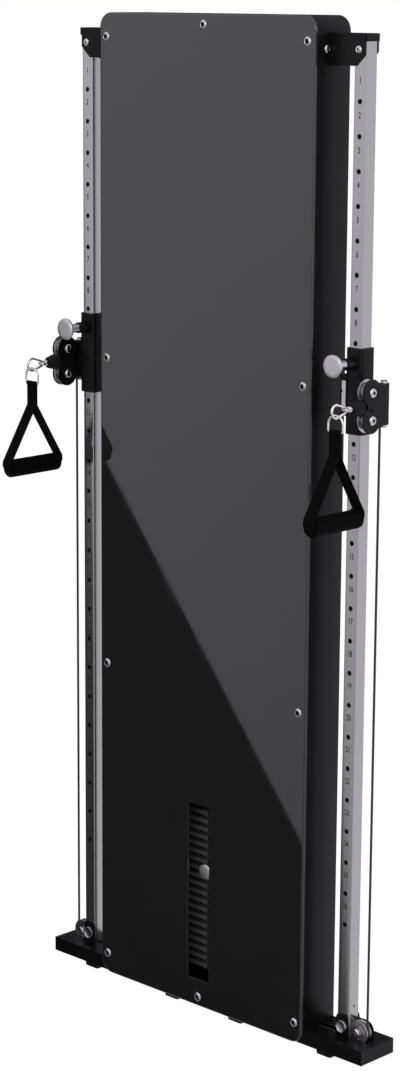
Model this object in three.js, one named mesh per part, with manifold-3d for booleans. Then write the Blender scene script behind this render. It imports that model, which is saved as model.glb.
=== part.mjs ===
// Wall pulley station: a weight stack in a slim housing between two posts.
// Each post carries a sliding carriage with a swivel bracket, two pulleys and a cable handle.
// Millimetres, +X to the right, +Y to the wall, +Z up.
import * as THREE from 'three';
import { mergeVertices } from 'three/addons/utils/BufferGeometryUtils.js';
import Module from 'manifold-3d';

const wasm = await Module();
wasm.setup();

// Gap between pieces that touch, running gap of a turning piece, and how far a cutter runs past a face
const fit = 0.3;
const runningGap = 0.4;
const overrun = 2;

// Faces round a circle
const fineSides = 18;
const middleSides = 14;
const coarseSides = 10;
const wireSides = 8;
const boltSides = 6;
const cornerSteps = 5;
const footSteps = 2;

// Front panel and housing
const panelHeight = 2050;
const panelMargin = 7;
const panelThickness = 6;
const panelCorner = 30;
const panelEdge = 2.5;
const slotWidth = 61;
const slotBottom = 59;
const slotTop = 443;
const slotCorner = 3;
const housingDepth = 100;
const sheet = 2;
const frontLip = 24;
const rearLip = 20;

// Base beam and its feet
const beamEnd = 26.2;
const beamBack = 105.5;
const beamBottom = 1.3;
const beamTop = 32;
const beamWall = 3;
const footWidth = 40;
const footDepth = 84;
const footHeight = 13;
const footInset = 7;
const footOutside = 47.5;
const innerFootX = 93;
const footCorner = 6;
const footEdge = 2;

// Posts and their row of holes
const postStandOff = 77.2;
const postY = 54.5;
const postWidth = 31;
const postDepth = 30;
const postWall = 2.5;
const postCorner = 3;
const holeCount = 26;
const firstHoleDrop = 122.2;
const lastHole = 270.3;
const holeRadius = 4.5;
const sideHoleRadius = 2.5;
const sideHoleZ = 96.6;
const throughBolt = 4;
const footBoltZ = 55;

// Cable and pulleys
const cableRadius = 2.4;
const pulleyRadius = 25.5;
const pitchRadius = 18.5;
const pulleyWidth = 13;
const rimLand = 1.4;
const grooveFloor = 4.4;
const axleRadius = 5;
const collarRadius = 8;
const sideGap = 0.4;
const cheekThickness = 3;
const basePulleyZ = 47;
const topPulleyDrop = 75;
const cableStandOff = 51.9;
const upRunClear = 17;
const arcSteps = 6;

// Brackets that hold the posts
const bracketSheet = 3;
const bracketDropTop = 31.7;
const bracketHeight = 60.3;
const bracketBoltDrop = 30;
const flangeFront = 2;
const flangeBack = 98;
const bracketSkirt = 15;
const skirtSheet = 1.6;
const cheekReach = 13.5;
const cutWidth = 24;
const frontCut = 22;
const backCut = 26;
const lugWidth = 32;
const lugTop = 81;
const lugRadius = 12;
const rearPlateRadius = 21;
const hexRadius = 8;
const hexHeight = 6;
const nutHeight = 6;

// Crossmember that carries the upper pulleys
const crossHeight = 40;
const crossSink = 45;
const crossDepth = 40;
const crossWall = 3;
const cheekHalf = 16;
const cableHole = 8;

// Weight stack
const rodShare = 2 / 3;
const rodRadius = 9.5;
const rodSocket = 25;
const bumperRadius = 20;
const stackBottom = 71;
const plateWidth = 450;
const plateDepth = 45;
const plateThickness = 17.67;
const plateChamfer = 2.4;
const restingCount = 12;
const liftedCount = 8;
const stemRadius = 11;
const stemGap = 0.6;
const pinRadius = 4.5;
const pinHole = 5.2;
const stemSink = 2;
const yokeGap = 0.3;
const yokeBase = 6;
const yokeHalf = 22;
const yokePulleyRise = 41;
const knobRadius = 17;
const knobFront = 18;
const knobThickness = 9;
const knobCollar = 8;
const pinTail = 14;

// Carriage that slides on a post
const carriageDrop = 491.8;
const sleeveTop = 28.5;
const sleeveBottom = -138;
const sleeveGap = 0.4;
const sleeveWall = 5.2;
const sleeveCorner = 9;
const webThickness = 8;
const hingeBack = 10.5;
const barrelRadius = 6.2;
const barrelHalf = 36;
const hingePinRadius = 4;
const hingeFlange = 6.5;
const hingeFlangeHeight = 5.3;

// Pop pin through the front of the carriage
const popBarrelRadius = 11.5;
const popBarrelLength = 25;
const popCollarRadius = 13.5;
const popCollarLength = 6;
const popPinRadius = 4.2;
const popNeckRadius = 9;
const popNeckLength = 29;
const popKnobRadius = 22.5;
const popKnobLength = 9;
const popKnobEdge = 2.5;

// Swivel bracket on the carriage's hinge
const swivelDrop = 75.1;
const swivelPulleyY = -35;
const swivelPulleyZ = 26.5;
const swivelHalf = 9.9;
const swivelSheet = 3;
const lobeRadius = 26;
const bridgeFront = -46;
const earThickness = 3.4;
const earHole = 3.4;
const innerPlateRear = -14.5;
const bandEnd = 0.28 * Math.PI;

// Cable end: rubber stopper, ferrule and snap hook
const stopperRear = -52.5;
const stopperHeel = -60.5;
const stopperShoulder = -65;
const stopperFront = -82.9;
const stopperRadius = 16.5;
const stopperNose = 6;
const stopperTip = 11.4;
const ferruleLength = 10;
const ferruleRadius = 7.5;
const eyeRadius = 8;
const eyeHole = 4.1;
const eyeThickness = 5;
const eyeY = -99;
const hookWire = 2.5;
const hookRearRadius = 6;
const hookFrontRadius = 12.5;
const hookFrontY = -127;
const gateWire = 2.1;
const gateNoseGap = 1.2;
const gateHeelGap = 0.9;
const hookSteps = 8;

// Handle: D-ring, webbing and grip
const handleY = -128;
const ringWire = 2;
const ringGap = 0.8;
const ringHalf = 16.5;
const ringBarZ = -38.9;
const webbingWidth = 28;
const webbing = 2.4;
const webbingGap = 0.3;
const neckBottom = -83;
const gripZ = -212.8;
const gripLength = 134;
const gripRadius = 18.5;
const gripBore = 14.8;
const gripEdge = 4;
const turnRadius = 3;

// Places that follow from the sizes above
const upRunX = plateWidth / 2 + upRunClear;
const panelWidth = 2 * (upRunX + pitchRadius + pulleyRadius + panelMargin);
const postX = panelWidth / 2 + postStandOff;
const cableX = postX + cableStandOff;
const beamWidth = 2 * (cableX + beamEnd);
const outerFootX = panelWidth / 2 + footOutside;
const stackX = (rodShare * plateWidth) / 2;
const bracketTop = panelHeight - bracketDropTop;
const bracketBottom = bracketTop - bracketHeight;
const bracketBoltZ = bracketTop - bracketBoltDrop;
const postTop = bracketTop - bracketSheet - fit;
const firstHole = postTop - firstHoleDrop;
const holePitch = (firstHole - lastHole) / (holeCount - 1);
const topPulleyZ = panelHeight - topPulleyDrop;
const crossTop = topPulleyZ - crossSink;
const crossBottom = crossTop - crossHeight;
const rodTop = crossBottom + rodSocket;
const carriageZ = firstHole - carriageDrop;
const bracketZ = carriageZ - swivelDrop;
const housingFront = panelThickness + fit;
const beamFront = housingFront;
const postFoot = beamTop + fit;
const basePulleyX = cableX - pitchRadius;
const innerPulleyX = upRunX + pitchRadius;
const topOuterX = upRunX - pitchRadius;
const topInnerX = 2 * pitchRadius;
const grooveRadius = pitchRadius - cableRadius - fit;
const boreRadius = axleRadius + runningGap;
const cheekInner = pulleyWidth / 2 + sideGap;
const cheekOuter = cheekInner + cheekThickness;
const restingTop = stackBottom + restingCount * plateThickness;
const liftedBottom = restingTop + fit;
const stackTop = liftedBottom + liftedCount * plateThickness;
const yokeFloor = stackTop + yokeGap;
const floatingZ = yokeFloor + yokePulleyRise;
const plateFront = postY - plateDepth / 2;
const sleeveInnerX = postWidth / 2 + sleeveGap;
const sleeveInnerY = postDepth / 2 + sleeveGap;
const sleeveOuterX = sleeveInnerX + sleeveWall;
const sleeveOuterY = sleeveInnerY + sleeveWall;
const earFace = barrelHalf + fit + earThickness;
const handleFront = postY + handleY - gripLength / 2 - webbingGap - webbing;
const rootY = -(handleFront + beamBack) / 2;
const rootZ = footHeight + fit - beamBottom;

const paint = (name, color, roughness, metalness) =>
  new THREE.MeshStandardMaterial({ name, color, roughness, metalness });
const looks = {
  gloss: paint('glossPanel', 0x2a2a2c, 0.15, 0.1),
  black: paint('blackPaint', 0x161616, 0.45, 0.2),
  silver: paint('silverPost', 0xb4b2b6, 0.35, 0.9),
  steel: paint('brightSteel', 0xd0d0d2, 0.2, 1),
  plate: paint('plateIron', 0x1c1c1d, 0.5, 0.3),
  rubber: paint('rubber', 0x101010, 0.9, 0),
  cable: paint('cableSteel', 0x2c2c2e, 0.5, 0.6),
  webbing: paint('webbing', 0x0c0c0c, 0.95, 0),
  foam: paint('foamGrip', 0x0e0e0e, 0.85, 0),
  pulley: paint('pulleyNylon', 0x303032, 0.4, 0.2),
};

const root = new THREE.Group();

// Solids: closed geometry in, closed geometry out
function toSolid(geometry) {
  const bare = geometry.clone();
  bare.deleteAttribute('normal');
  bare.deleteAttribute('uv');
  const merged = mergeVertices(bare, fit / 1000);
  const vertProperties = Float32Array.from(merged.attributes.position.array);
  const triVerts = Uint32Array.from(merged.index.array);
  return new wasm.Manifold(new wasm.Mesh({ numProp: 3, vertProperties, triVerts }));
}

function toGeometry(solid) {
  const mesh = solid.getMesh();
  const geometry = new THREE.BufferGeometry();
  geometry.setAttribute('position', new THREE.BufferAttribute(mesh.vertProperties, 3));
  geometry.setIndex(new THREE.BufferAttribute(mesh.triVerts, 1));
  return geometry;
}

function join(first, ...others) {
  return toGeometry(others.reduce((sum, piece) => sum.add(toSolid(piece)), toSolid(first)));
}

function cut(first, ...others) {
  return toGeometry(others.reduce((rest, piece) => rest.subtract(toSolid(piece)), toSolid(first)));
}

// A copy for the left side, reflected in its own x = 0 plane with its faces kept outward
function mirrored(geometry) {
  const indexed = geometry.index ? geometry.clone() : mergeVertices(geometry.clone());
  indexed.deleteAttribute('normal');
  indexed.deleteAttribute('uv');
  indexed.scale(-1, 1, 1);
  const corners = indexed.index.array;
  for (let i = 0; i < corners.length; i += 3) {
    [corners[i], corners[i + 1]] = [corners[i + 1], corners[i]];
  }
  return indexed;
}

function block(x0, x1, y0, y1, z0, z1) {
  const box = new THREE.BoxGeometry(x1 - x0, y1 - y0, z1 - z0);
  return box.translate((x0 + x1) / 2, (y0 + y1) / 2, (z0 + z1) / 2);
}

// Turns a solid made along +Z, or a sheet drawn in its own plane, to lie along another axis
const basis = {
  x: new THREE.Matrix4().makeBasis(
    new THREE.Vector3(0, 1, 0), new THREE.Vector3(0, 0, 1), new THREE.Vector3(1, 0, 0)),
  y: new THREE.Matrix4().makeBasis(
    new THREE.Vector3(0, 0, 1), new THREE.Vector3(1, 0, 0), new THREE.Vector3(0, 1, 0)),
  z: new THREE.Matrix4(),
};

function rod(axis, radius, from, to, a = 0, b = 0, sides = coarseSides) {
  const length = to - from;
  const cylinder = new THREE.CylinderGeometry(radius, radius, length, sides);
  cylinder.rotateX(Math.PI / 2).translate(0, 0, (from + to) / 2).applyMatrix4(basis[axis]);
  const place = { x: [0, a, b], y: [a, 0, b], z: [a, b, 0] }[axis];
  return cylinder.translate(...place);
}

// A sheet drawn in x and z, filling y0 to y1
function sheetXZ(shape, y0, y1, options = {}) {
  const depth = y1 - y0;
  const solid = new THREE.ExtrudeGeometry(
    shape, { depth, curveSegments: cornerSteps, bevelEnabled: false, ...options });
  return solid.rotateX(Math.PI / 2).translate(0, y1, 0);
}

// A sheet drawn in y and z, filling x0 to x1
function sheetYZ(shape, x0, x1) {
  const solid = new THREE.ExtrudeGeometry(
    shape, { depth: x1 - x0, curveSegments: cornerSteps, bevelEnabled: false });
  return solid.applyMatrix4(basis.x).translate(x0, 0, 0);
}

// A sheet drawn in x and y, filling z0 to z1
function sheetXY(shape, z0, z1) {
  const solid = new THREE.ExtrudeGeometry(
    shape, { depth: z1 - z0, curveSegments: cornerSteps, bevelEnabled: false });
  return solid.translate(0, 0, z0);
}

// Rectangle with round corners, all four or only the upper two
function rounded(x0, x1, y0, y1, upper, lower = upper) {
  const shape = new THREE.Shape();
  shape.moveTo(x0 + lower, y0);
  shape.lineTo(x1 - lower, y0);
  if (lower > 0) shape.absarc(x1 - lower, y0 + lower, lower, -Math.PI / 2, 0, false);
  shape.lineTo(x1, y1 - upper);
  if (upper > 0) shape.absarc(x1 - upper, y1 - upper, upper, 0, Math.PI / 2, false);
  shape.lineTo(x0 + upper, y1);
  if (upper > 0) shape.absarc(x0 + upper, y1 - upper, upper, Math.PI / 2, Math.PI, false);
  shape.lineTo(x0, y0 + lower);
  if (lower > 0) shape.absarc(x0 + lower, y0 + lower, lower, Math.PI, Math.PI * 1.5, false);
  return shape;
}

// A turned piece: profile points are [radius, place along the axis]
function turned(axis, profile, sides = middleSides) {
  const points = profile.map(([radius, along]) => new THREE.Vector2(radius, along));
  const lathe = new THREE.LatheGeometry(points, sides);
  return lathe.rotateX(Math.PI / 2).applyMatrix4(basis[axis]);
}

// A route that a tube follows ring by ring through its points
class Route extends THREE.Curve {
  constructor(points) {
    super();
    this.points = points;
    this.steps = points.length - 1;
  }
  getPoint(t) {
    const along = t * this.steps;
    const i = Math.min(Math.floor(along), this.steps - 1);
    return this.points[i].clone().lerp(this.points[i + 1], along - i);
  }
  getPointAt(u) {
    return this.getPoint(u);
  }
  getTangentAt(u) {
    const i = Math.round(u * this.steps);
    const before = this.points[Math.max(i - 1, 0)];
    const after = this.points[Math.min(i + 1, this.steps)];
    return after.clone().sub(before).normalize();
  }
}

function tube(points, radius, sides = wireSides) {
  const section = new THREE.Shape();
  section.absarc(0, 0, radius, 0, Math.PI * 2, false);
  const ring = new THREE.Shape(section.getSpacedPoints(sides).slice(0, sides));
  const route = new Route(points);
  const options = { steps: route.steps, extrudePath: route, bevelEnabled: false };
  return new THREE.ExtrudeGeometry(ring, options);
}

// Points round a circle in the plane of x and z, at depth y
function arcXZ(x, z, y, radius, from, to, steps = arcSteps) {
  const points = [];
  for (let i = 0; i <= steps; i += 1) {
    const angle = from + ((to - from) * i) / steps;
    points.push(new THREE.Vector3(x + radius * Math.cos(angle), y, z + radius * Math.sin(angle)));
  }
  return points;
}

// Points round a circle in the plane of y and z, at x = 0
function arcYZ(y, z, radius, from, to, steps = arcSteps) {
  const points = [];
  for (let i = 0; i <= steps; i += 1) {
    const angle = from + ((to - from) * i) / steps;
    points.push(new THREE.Vector3(0, y + radius * Math.cos(angle), z + radius * Math.sin(angle)));
  }
  return points;
}

function add(parent, name, geometry, material, x = 0, y = 0, z = 0) {
  const mesh = new THREE.Mesh(geometry, material.clone());
  mesh.name = name;
  mesh.position.set(x, y, z);
  parent.add(mesh);
  return mesh;
}

// Housing
function archShape(inset, foot) {
  const half = panelWidth / 2 - inset;
  const corner = Math.max(panelCorner - inset, slotCorner);
  return rounded(-half, half, foot, panelHeight - inset, corner, 0);
}

function frontPanel() {
  const bevel = {
    bevelEnabled: true,
    bevelSize: panelEdge,
    bevelThickness: panelEdge,
    bevelOffset: -panelEdge,
    bevelSegments: 1,
  };
  const board = sheetXZ(archShape(0, 0), panelEdge, panelThickness - panelEdge, bevel);
  const window = rounded(-slotWidth / 2, slotWidth / 2, slotBottom, slotTop, slotCorner);
  return cut(board, sheetXZ(window, -overrun, panelThickness + overrun));
}

function housingShell() {
  const foot = beamTop + fit;
  const outer = sheetXZ(archShape(0, foot), housingFront, housingDepth);
  const room = sheetXZ(archShape(sheet, foot - overrun), housingFront + sheet, housingDepth - sheet);
  const frontMouth = sheetXZ(
    archShape(frontLip, foot - overrun), housingFront - overrun, housingFront + sheet + overrun);
  const rearMouth = sheetXZ(
    archShape(rearLip, foot - overrun), housingDepth - sheet - overrun, housingDepth + overrun);
  const reach = panelWidth / 2 + overrun;
  const notchHalf = cableRadius * 2;
  const notchTop = basePulleyZ - pitchRadius + notchHalf;
  const notch = block(-reach, reach, postY - notchHalf, postY + notchHalf, foot - overrun, notchTop);
  return cut(outer, room, frontMouth, rearMouth, notch);
}

function backPanel() {
  const back = housingDepth - sheet - fit;
  return sheetXZ(archShape(sheet + fit, beamTop + fit), back - sheet, back);
}

// Pulley with a cable groove, turned about the given axis
function pulley(axis) {
  const half = pulleyWidth / 2;
  const profile = [
    [boreRadius, -half],
    [pulleyRadius, -half],
    [pulleyRadius, rimLand - half],
    [grooveRadius, -grooveFloor / 2],
    [grooveRadius, grooveFloor / 2],
    [pulleyRadius, half - rimLand],
    [pulleyRadius, half],
    [boreRadius, half],
    [boreRadius, -half],
  ];
  return turned(axis, profile);
}

// A pair of cheeks with the axle and collars between them, for a pulley that turns about y
function cheekPair(x, z, low, high) {
  const shape = rounded(x - cheekHalf, x + cheekHalf, low, high, 0);
  return [
    sheetXZ(shape, postY - cheekOuter, postY - cheekInner),
    sheetXZ(shape, postY + cheekInner, postY + cheekOuter),
    rod('y', axleRadius, postY - cheekOuter, postY + cheekOuter, x, z),
  ];
}

// Base beam with the lugs and cheeks welded on it
function baseBeam() {
  const half = beamWidth / 2;
  const outer = block(-half, half, beamFront, beamBack, beamBottom, beamTop);
  const inner = block(
    -half + beamWall, half - beamWall,
    beamFront + beamWall, beamBack - beamWall,
    beamBottom + beamWall, beamTop - beamWall);
  const slots = [];
  const fittings = [];
  const slotHalf = pulleyWidth / 2 + sideGap * 2;
  const inward = innerPulleyX - pulleyRadius;
  const outward = basePulleyX + pulleyRadius;
  for (const side of [-1, 1]) {
    slots.push(block(
      Math.min(side * inward, side * outward), Math.max(side * inward, side * outward),
      postY - slotHalf, postY + slotHalf,
      beamTop - beamWall - overrun, beamTop + overrun));
    fittings.push(...cheekPair(side * innerPulleyX, basePulleyZ, beamTop - fit, basePulleyZ + lugRadius));
    fittings.push(...postFootFittings(side));
  }
  return join(cut(outer, inner, ...slots), ...fittings);
}

function postFootFittings(side) {
  const x = side * postX;
  const postFront = postY - postDepth / 2;
  const postBack = postY + postDepth / 2;
  const lug = rounded(x - lugWidth / 2, x + lugWidth / 2, beamTop - fit, lugTop, lugRadius, 0);
  const pulleyX = side * basePulleyX;
  const tail = rounded(
    Math.min(x, pulleyX + side * rearPlateRadius), Math.max(x, pulleyX + side * rearPlateRadius),
    beamTop - fit, basePulleyZ + rearPlateRadius, rearPlateRadius, 0);
  const back = postBack + fit;
  return [
    sheetXZ(lug, postFront - fit - bracketSheet, postFront - fit),
    sheetXZ(lug, back, back + bracketSheet),
    sheetXZ(tail, back, back + bracketSheet),
    rod('y', throughBolt, postFront - fit - bracketSheet, back + bracketSheet, x, footBoltZ),
    rod('y', axleRadius, postY - cheekInner - hexHeight, back + bracketSheet, pulleyX, basePulleyZ),
    rod('y', hexRadius, postY - cheekInner - hexHeight, postY - cheekInner, pulleyX, basePulleyZ, boltSides),
    rod('y', collarRadius, postY + cheekInner, back, pulleyX, basePulleyZ),
    rod('y', hexRadius, back + bracketSheet, back + bracketSheet + nutHeight, pulleyX, basePulleyZ, boltSides),
  ];
}

function foot() {
  const half = footWidth / 2;
  const shape = rounded(-half, half, footInset, footInset + footDepth, footCorner);
  const solid = new THREE.ExtrudeGeometry(shape, {
    depth: footHeight - 2 * footEdge,
    bevelEnabled: true,
    bevelSize: footEdge,
    bevelOffset: -footEdge,
    bevelThickness: footEdge,
    bevelSegments: 1,
    curveSegments: footSteps,
  });
  return solid.translate(0, beamFront, beamBottom - fit - footHeight + footEdge);
}

// Square tube post, drawn about its own axis with its foot at z = 0; its outer side is +x
function post() {
  const halfX = postWidth / 2;
  const halfY = postDepth / 2;
  const height = postTop - postFoot;
  const outer = sheetXY(rounded(-halfX, halfX, -halfY, halfY, postCorner), 0, height);
  const inner = block(
    -halfX + postWall, halfX - postWall, -halfY + postWall, halfY - postWall, -overrun, height + overrun);
  const cutters = [];
  for (let i = 0; i < holeCount; i += 1) {
    const z = firstHole - i * holePitch - postFoot;
    cutters.push(rod('y', holeRadius, -halfY - overrun, -halfY + postWall + overrun, 0, z, wireSides));
  }
  const boltHole = throughBolt + runningGap;
  for (const z of [footBoltZ - postFoot, bracketBoltZ - postFoot]) {
    cutters.push(rod('y', boltHole, -halfY - overrun, halfY + overrun, 0, z));
  }
  cutters.push(rod('x', sideHoleRadius, 0, halfX + overrun, 0, sideHoleZ - postFoot, wireSides));
  const cableHalf = cableRadius * 2;
  const cableTop = basePulleyZ - pitchRadius + cableHalf - postFoot;
  cutters.push(block(-halfX - overrun, halfX + overrun, -cableHalf, cableHalf, -overrun, cableTop));
  const pulleyHalf = pulleyWidth / 2 + 2 * sideGap;
  const faceOffset = basePulleyX - postX - halfX;
  const chord = Math.sqrt(pulleyRadius * pulleyRadius - faceOffset * faceOffset);
  const pulleyTop = basePulleyZ + chord + sideGap - postFoot;
  cutters.push(block(0, halfX + overrun, -pulleyHalf, pulleyHalf, -overrun, pulleyTop));
  return cut(outer, inner, ...cutters);
}

// Cheek of the top bracket, with its lower outer corner cut off
function cheekShape(wall, outer, cutTop) {
  const shape = new THREE.Shape();
  shape.moveTo(wall, bracketBottom);
  shape.lineTo(outer - cutWidth, bracketBottom);
  shape.lineTo(outer, bracketBottom + cutTop);
  shape.lineTo(outer, bracketTop);
  shape.lineTo(wall, bracketTop);
  return shape;
}

// Bracket from the housing's side to the top of a post, drawn for the right side
function topBracket() {
  const wall = panelWidth / 2 + fit;
  const front = postY - postDepth / 2 - fit;
  const back = postY + postDepth / 2 + fit;
  const outer = postX + postWidth / 2 + fit;
  const flange = block(wall, wall + bracketSheet, flangeFront, flangeBack, bracketBottom, bracketTop);
  const frontCheek = sheetXZ(cheekShape(wall, postX + cheekReach, frontCut), front - bracketSheet, front);
  const backCheek = sheetXZ(cheekShape(wall, outer, backCut), back, back + bracketSheet);
  const depth0 = front - bracketSheet;
  const depth1 = back + bracketSheet;
  const rim = outer + skirtSheet;
  const lid = block(wall, rim, depth0, depth1, bracketTop - bracketSheet, bracketTop);
  const skirt = block(outer, rim, depth0, depth1, bracketTop - bracketSkirt, bracketTop);
  const bolt = rod('y', throughBolt, depth0, depth1, postX, bracketBoltZ);
  return join(flange, frontCheek, backCheek, lid, skirt, bolt);
}

// Upper beam: a box tube with cheeks for four pulleys, sockets for the guide rods and cable holes
function topCrossmember() {
  const half = panelWidth / 2 - sheet - fit;
  const front = postY - crossDepth / 2;
  const back = postY + crossDepth / 2;
  const outer = block(-half, half, front, back, crossBottom, crossTop);
  const inner = block(
    -half - overrun, half + overrun, front + crossWall, back - crossWall,
    crossBottom + crossWall, crossTop - crossWall);
  const cutters = [inner];
  const cheeks = [];
  for (const side of [-1, 1]) {
    const socket = rodRadius + fit;
    cutters.push(rod('z', socket, crossBottom - overrun, crossBottom + crossWall + overrun,
      side * stackX, postY, middleSides));
    for (const x of [pitchRadius, upRunX]) {
      cutters.push(rod('z', cableHole, crossBottom - overrun, crossTop + overrun, side * x, postY));
    }
    for (const x of [topOuterX, topInnerX]) {
      cheeks.push(...cheekPair(side * x, topPulleyZ, crossTop - fit, topPulleyZ + lugRadius));
    }
  }
  return join(cut(outer, ...cutters), ...cheeks);
}

// Weight plates with chamfered edges, lying on each other, bored for the rods, stem and pin
function plates(count, bottom) {
  const halfX = plateWidth / 2 - plateChamfer;
  const halfY = plateDepth / 2 - plateChamfer;
  const shape = rounded(-halfX, halfX, -halfY, halfY, 0);
  const slices = [];
  const cutters = [];
  for (let i = 0; i < count; i += 1) {
    const slice = new THREE.ExtrudeGeometry(shape, {
      depth: plateThickness - 2 * plateChamfer,
      bevelEnabled: true,
      bevelSize: plateChamfer,
      bevelThickness: plateChamfer,
      bevelSegments: 1,
    });
    slices.push(slice.translate(0, postY, bottom + i * plateThickness + plateChamfer));
    const z = bottom + (i + 1 / 2) * plateThickness;
    cutters.push(rod('y', pinHole, plateFront - overrun, postY, 0, z, wireSides));
    cutters.push(rod('y', pinHole, postY, postY + pinTail + fit, 0, z, wireSides));
  }
  const top = bottom + count * plateThickness;
  const core = block(-halfX, halfX, postY - halfY, postY + halfY, bottom, top);
  for (const side of [-1, 1]) {
    cutters.push(rod('z', rodRadius + fit * 2, bottom - overrun, top + overrun, side * stackX, postY));
  }
  cutters.push(rod('z', stemRadius + stemGap, bottom - overrun, top + overrun, 0, postY));
  return cut(join(core, ...slices), ...cutters);
}

// Selector stem with a hole at each plate, and the fork of the floating pulley on its top
function selectorStem() {
  const low = stackBottom + stemSink;
  const shaft = rod('z', stemRadius, low, yokeFloor + yokeBase, 0, postY);
  const holes = [];
  for (let i = 0; i < restingCount + liftedCount; i += 1) {
    const z = stackBottom + fit + (i + 1 / 2) * plateThickness;
    holes.push(rod(
      'y', pinHole, postY - stemRadius - overrun, postY + stemRadius + overrun, 0, z, wireSides));
  }
  const base = block(
    -yokeHalf, yokeHalf, postY - cheekOuter, postY + cheekOuter, yokeFloor, yokeFloor + yokeBase);
  const cheeks = cheekPair(0, floatingZ, yokeFloor, floatingZ + lugRadius);
  return join(cut(shaft, ...holes), base, ...cheeks);
}

function selectorPin() {
  const shank = plateFront - fit;
  const profile = [
    [0, knobFront],
    [knobRadius - sheet, knobFront],
    [knobRadius, knobFront + sheet],
    [knobRadius, knobFront + knobThickness],
    [knobCollar, knobFront + knobThickness],
    [knobCollar, shank],
    [pinRadius, shank],
    [pinRadius, postY + pinTail],
    [0, postY + pinTail],
  ];
  return turned('y', profile);
}

// Cable runs inside the machine, drawn for the right side
function runCable() {
  const quarter = Math.PI / 2;
  const points = [
    new THREE.Vector3(cableX, postY, basePulleyZ + cableRadius),
    ...arcXZ(basePulleyX, basePulleyZ, postY, pitchRadius, 0, -quarter),
    ...arcXZ(innerPulleyX, basePulleyZ, postY, pitchRadius, -quarter, -2 * quarter),
    ...arcXZ(topOuterX, topPulleyZ, postY, pitchRadius, 0, quarter),
    ...arcXZ(topInnerX, topPulleyZ, postY, pitchRadius, quarter, 2 * quarter),
    new THREE.Vector3(pitchRadius, postY, topPulleyZ - cableRadius),
  ];
  return tube(points, cableRadius, boltSides);
}

function liftCable() {
  const high = topPulleyZ - cableRadius - fit;
  const points = [
    new THREE.Vector3(pitchRadius, postY, high),
    ...arcXZ(0, floatingZ, postY, pitchRadius, 0, -Math.PI, arcSteps * 2),
    new THREE.Vector3(-pitchRadius, postY, high),
  ];
  return tube(points, cableRadius, boltSides);
}

// Sleeve, web, hinge barrel, pop pin barrel and guide, drawn about the post axis at the pin
function carriage() {
  const sleeve = rounded(-sleeveOuterX, sleeveOuterX, -sleeveOuterY, sleeveOuterY, sleeveCorner);
  const body = sheetXY(sleeve, sleeveBottom, sleeveTop);
  const collar = -sleeveOuterY - popCollarLength;
  const barrelFace = -sleeveOuterY - popBarrelLength;
  const popBarrel = join(
    rod('y', popBarrelRadius, barrelFace, -sleeveInnerY - fit, 0, 0, middleSides),
    rod('y', popCollarRadius, collar, -sleeveInnerY - fit, 0, 0, middleSides));
  const webHalf = webThickness / 2;
  const low = -swivelDrop - barrelHalf;
  const high = -swivelDrop + barrelHalf;
  const web = block(
    sleeveInnerX + fit, cableStandOff, hingeBack - webHalf, hingeBack + webHalf, low, high);
  const barrel = rod('z', barrelRadius, low, high, cableStandOff, hingeBack, middleSides);
  const bore = block(
    -sleeveInnerX, sleeveInnerX, -sleeveInnerY, sleeveInnerY,
    sleeveBottom - overrun, sleeveTop + overrun);
  const pinBore = rod('y', popPinRadius + runningGap, barrelFace - overrun, 0, 0, 0, middleSides);
  const hingeBore = rod('z', hingePinRadius + runningGap, low - overrun, high + overrun,
    cableStandOff, hingeBack, middleSides);
  return cut(join(body, web, barrel, popBarrel), bore, pinBore, hingeBore);
}

function popPin() {
  const face = -sleeveOuterY - popBarrelLength - fit;
  const neckEnd = face - popNeckLength;
  const knobEnd = neckEnd - popKnobLength;
  const profile = [
    [0, knobEnd],
    [popKnobRadius - popKnobEdge, knobEnd],
    [popKnobRadius, knobEnd + popKnobEdge],
    [popKnobRadius, neckEnd - popKnobEdge],
    [popKnobRadius - popKnobEdge, neckEnd],
    [popNeckRadius, neckEnd],
    [popNeckRadius, face],
    [popPinRadius, face],
    [popPinRadius, -postDepth / 2 - fit],
    [0, -postDepth / 2 - fit],
  ];
  return turned('y', profile, fineSides);
}

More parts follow.
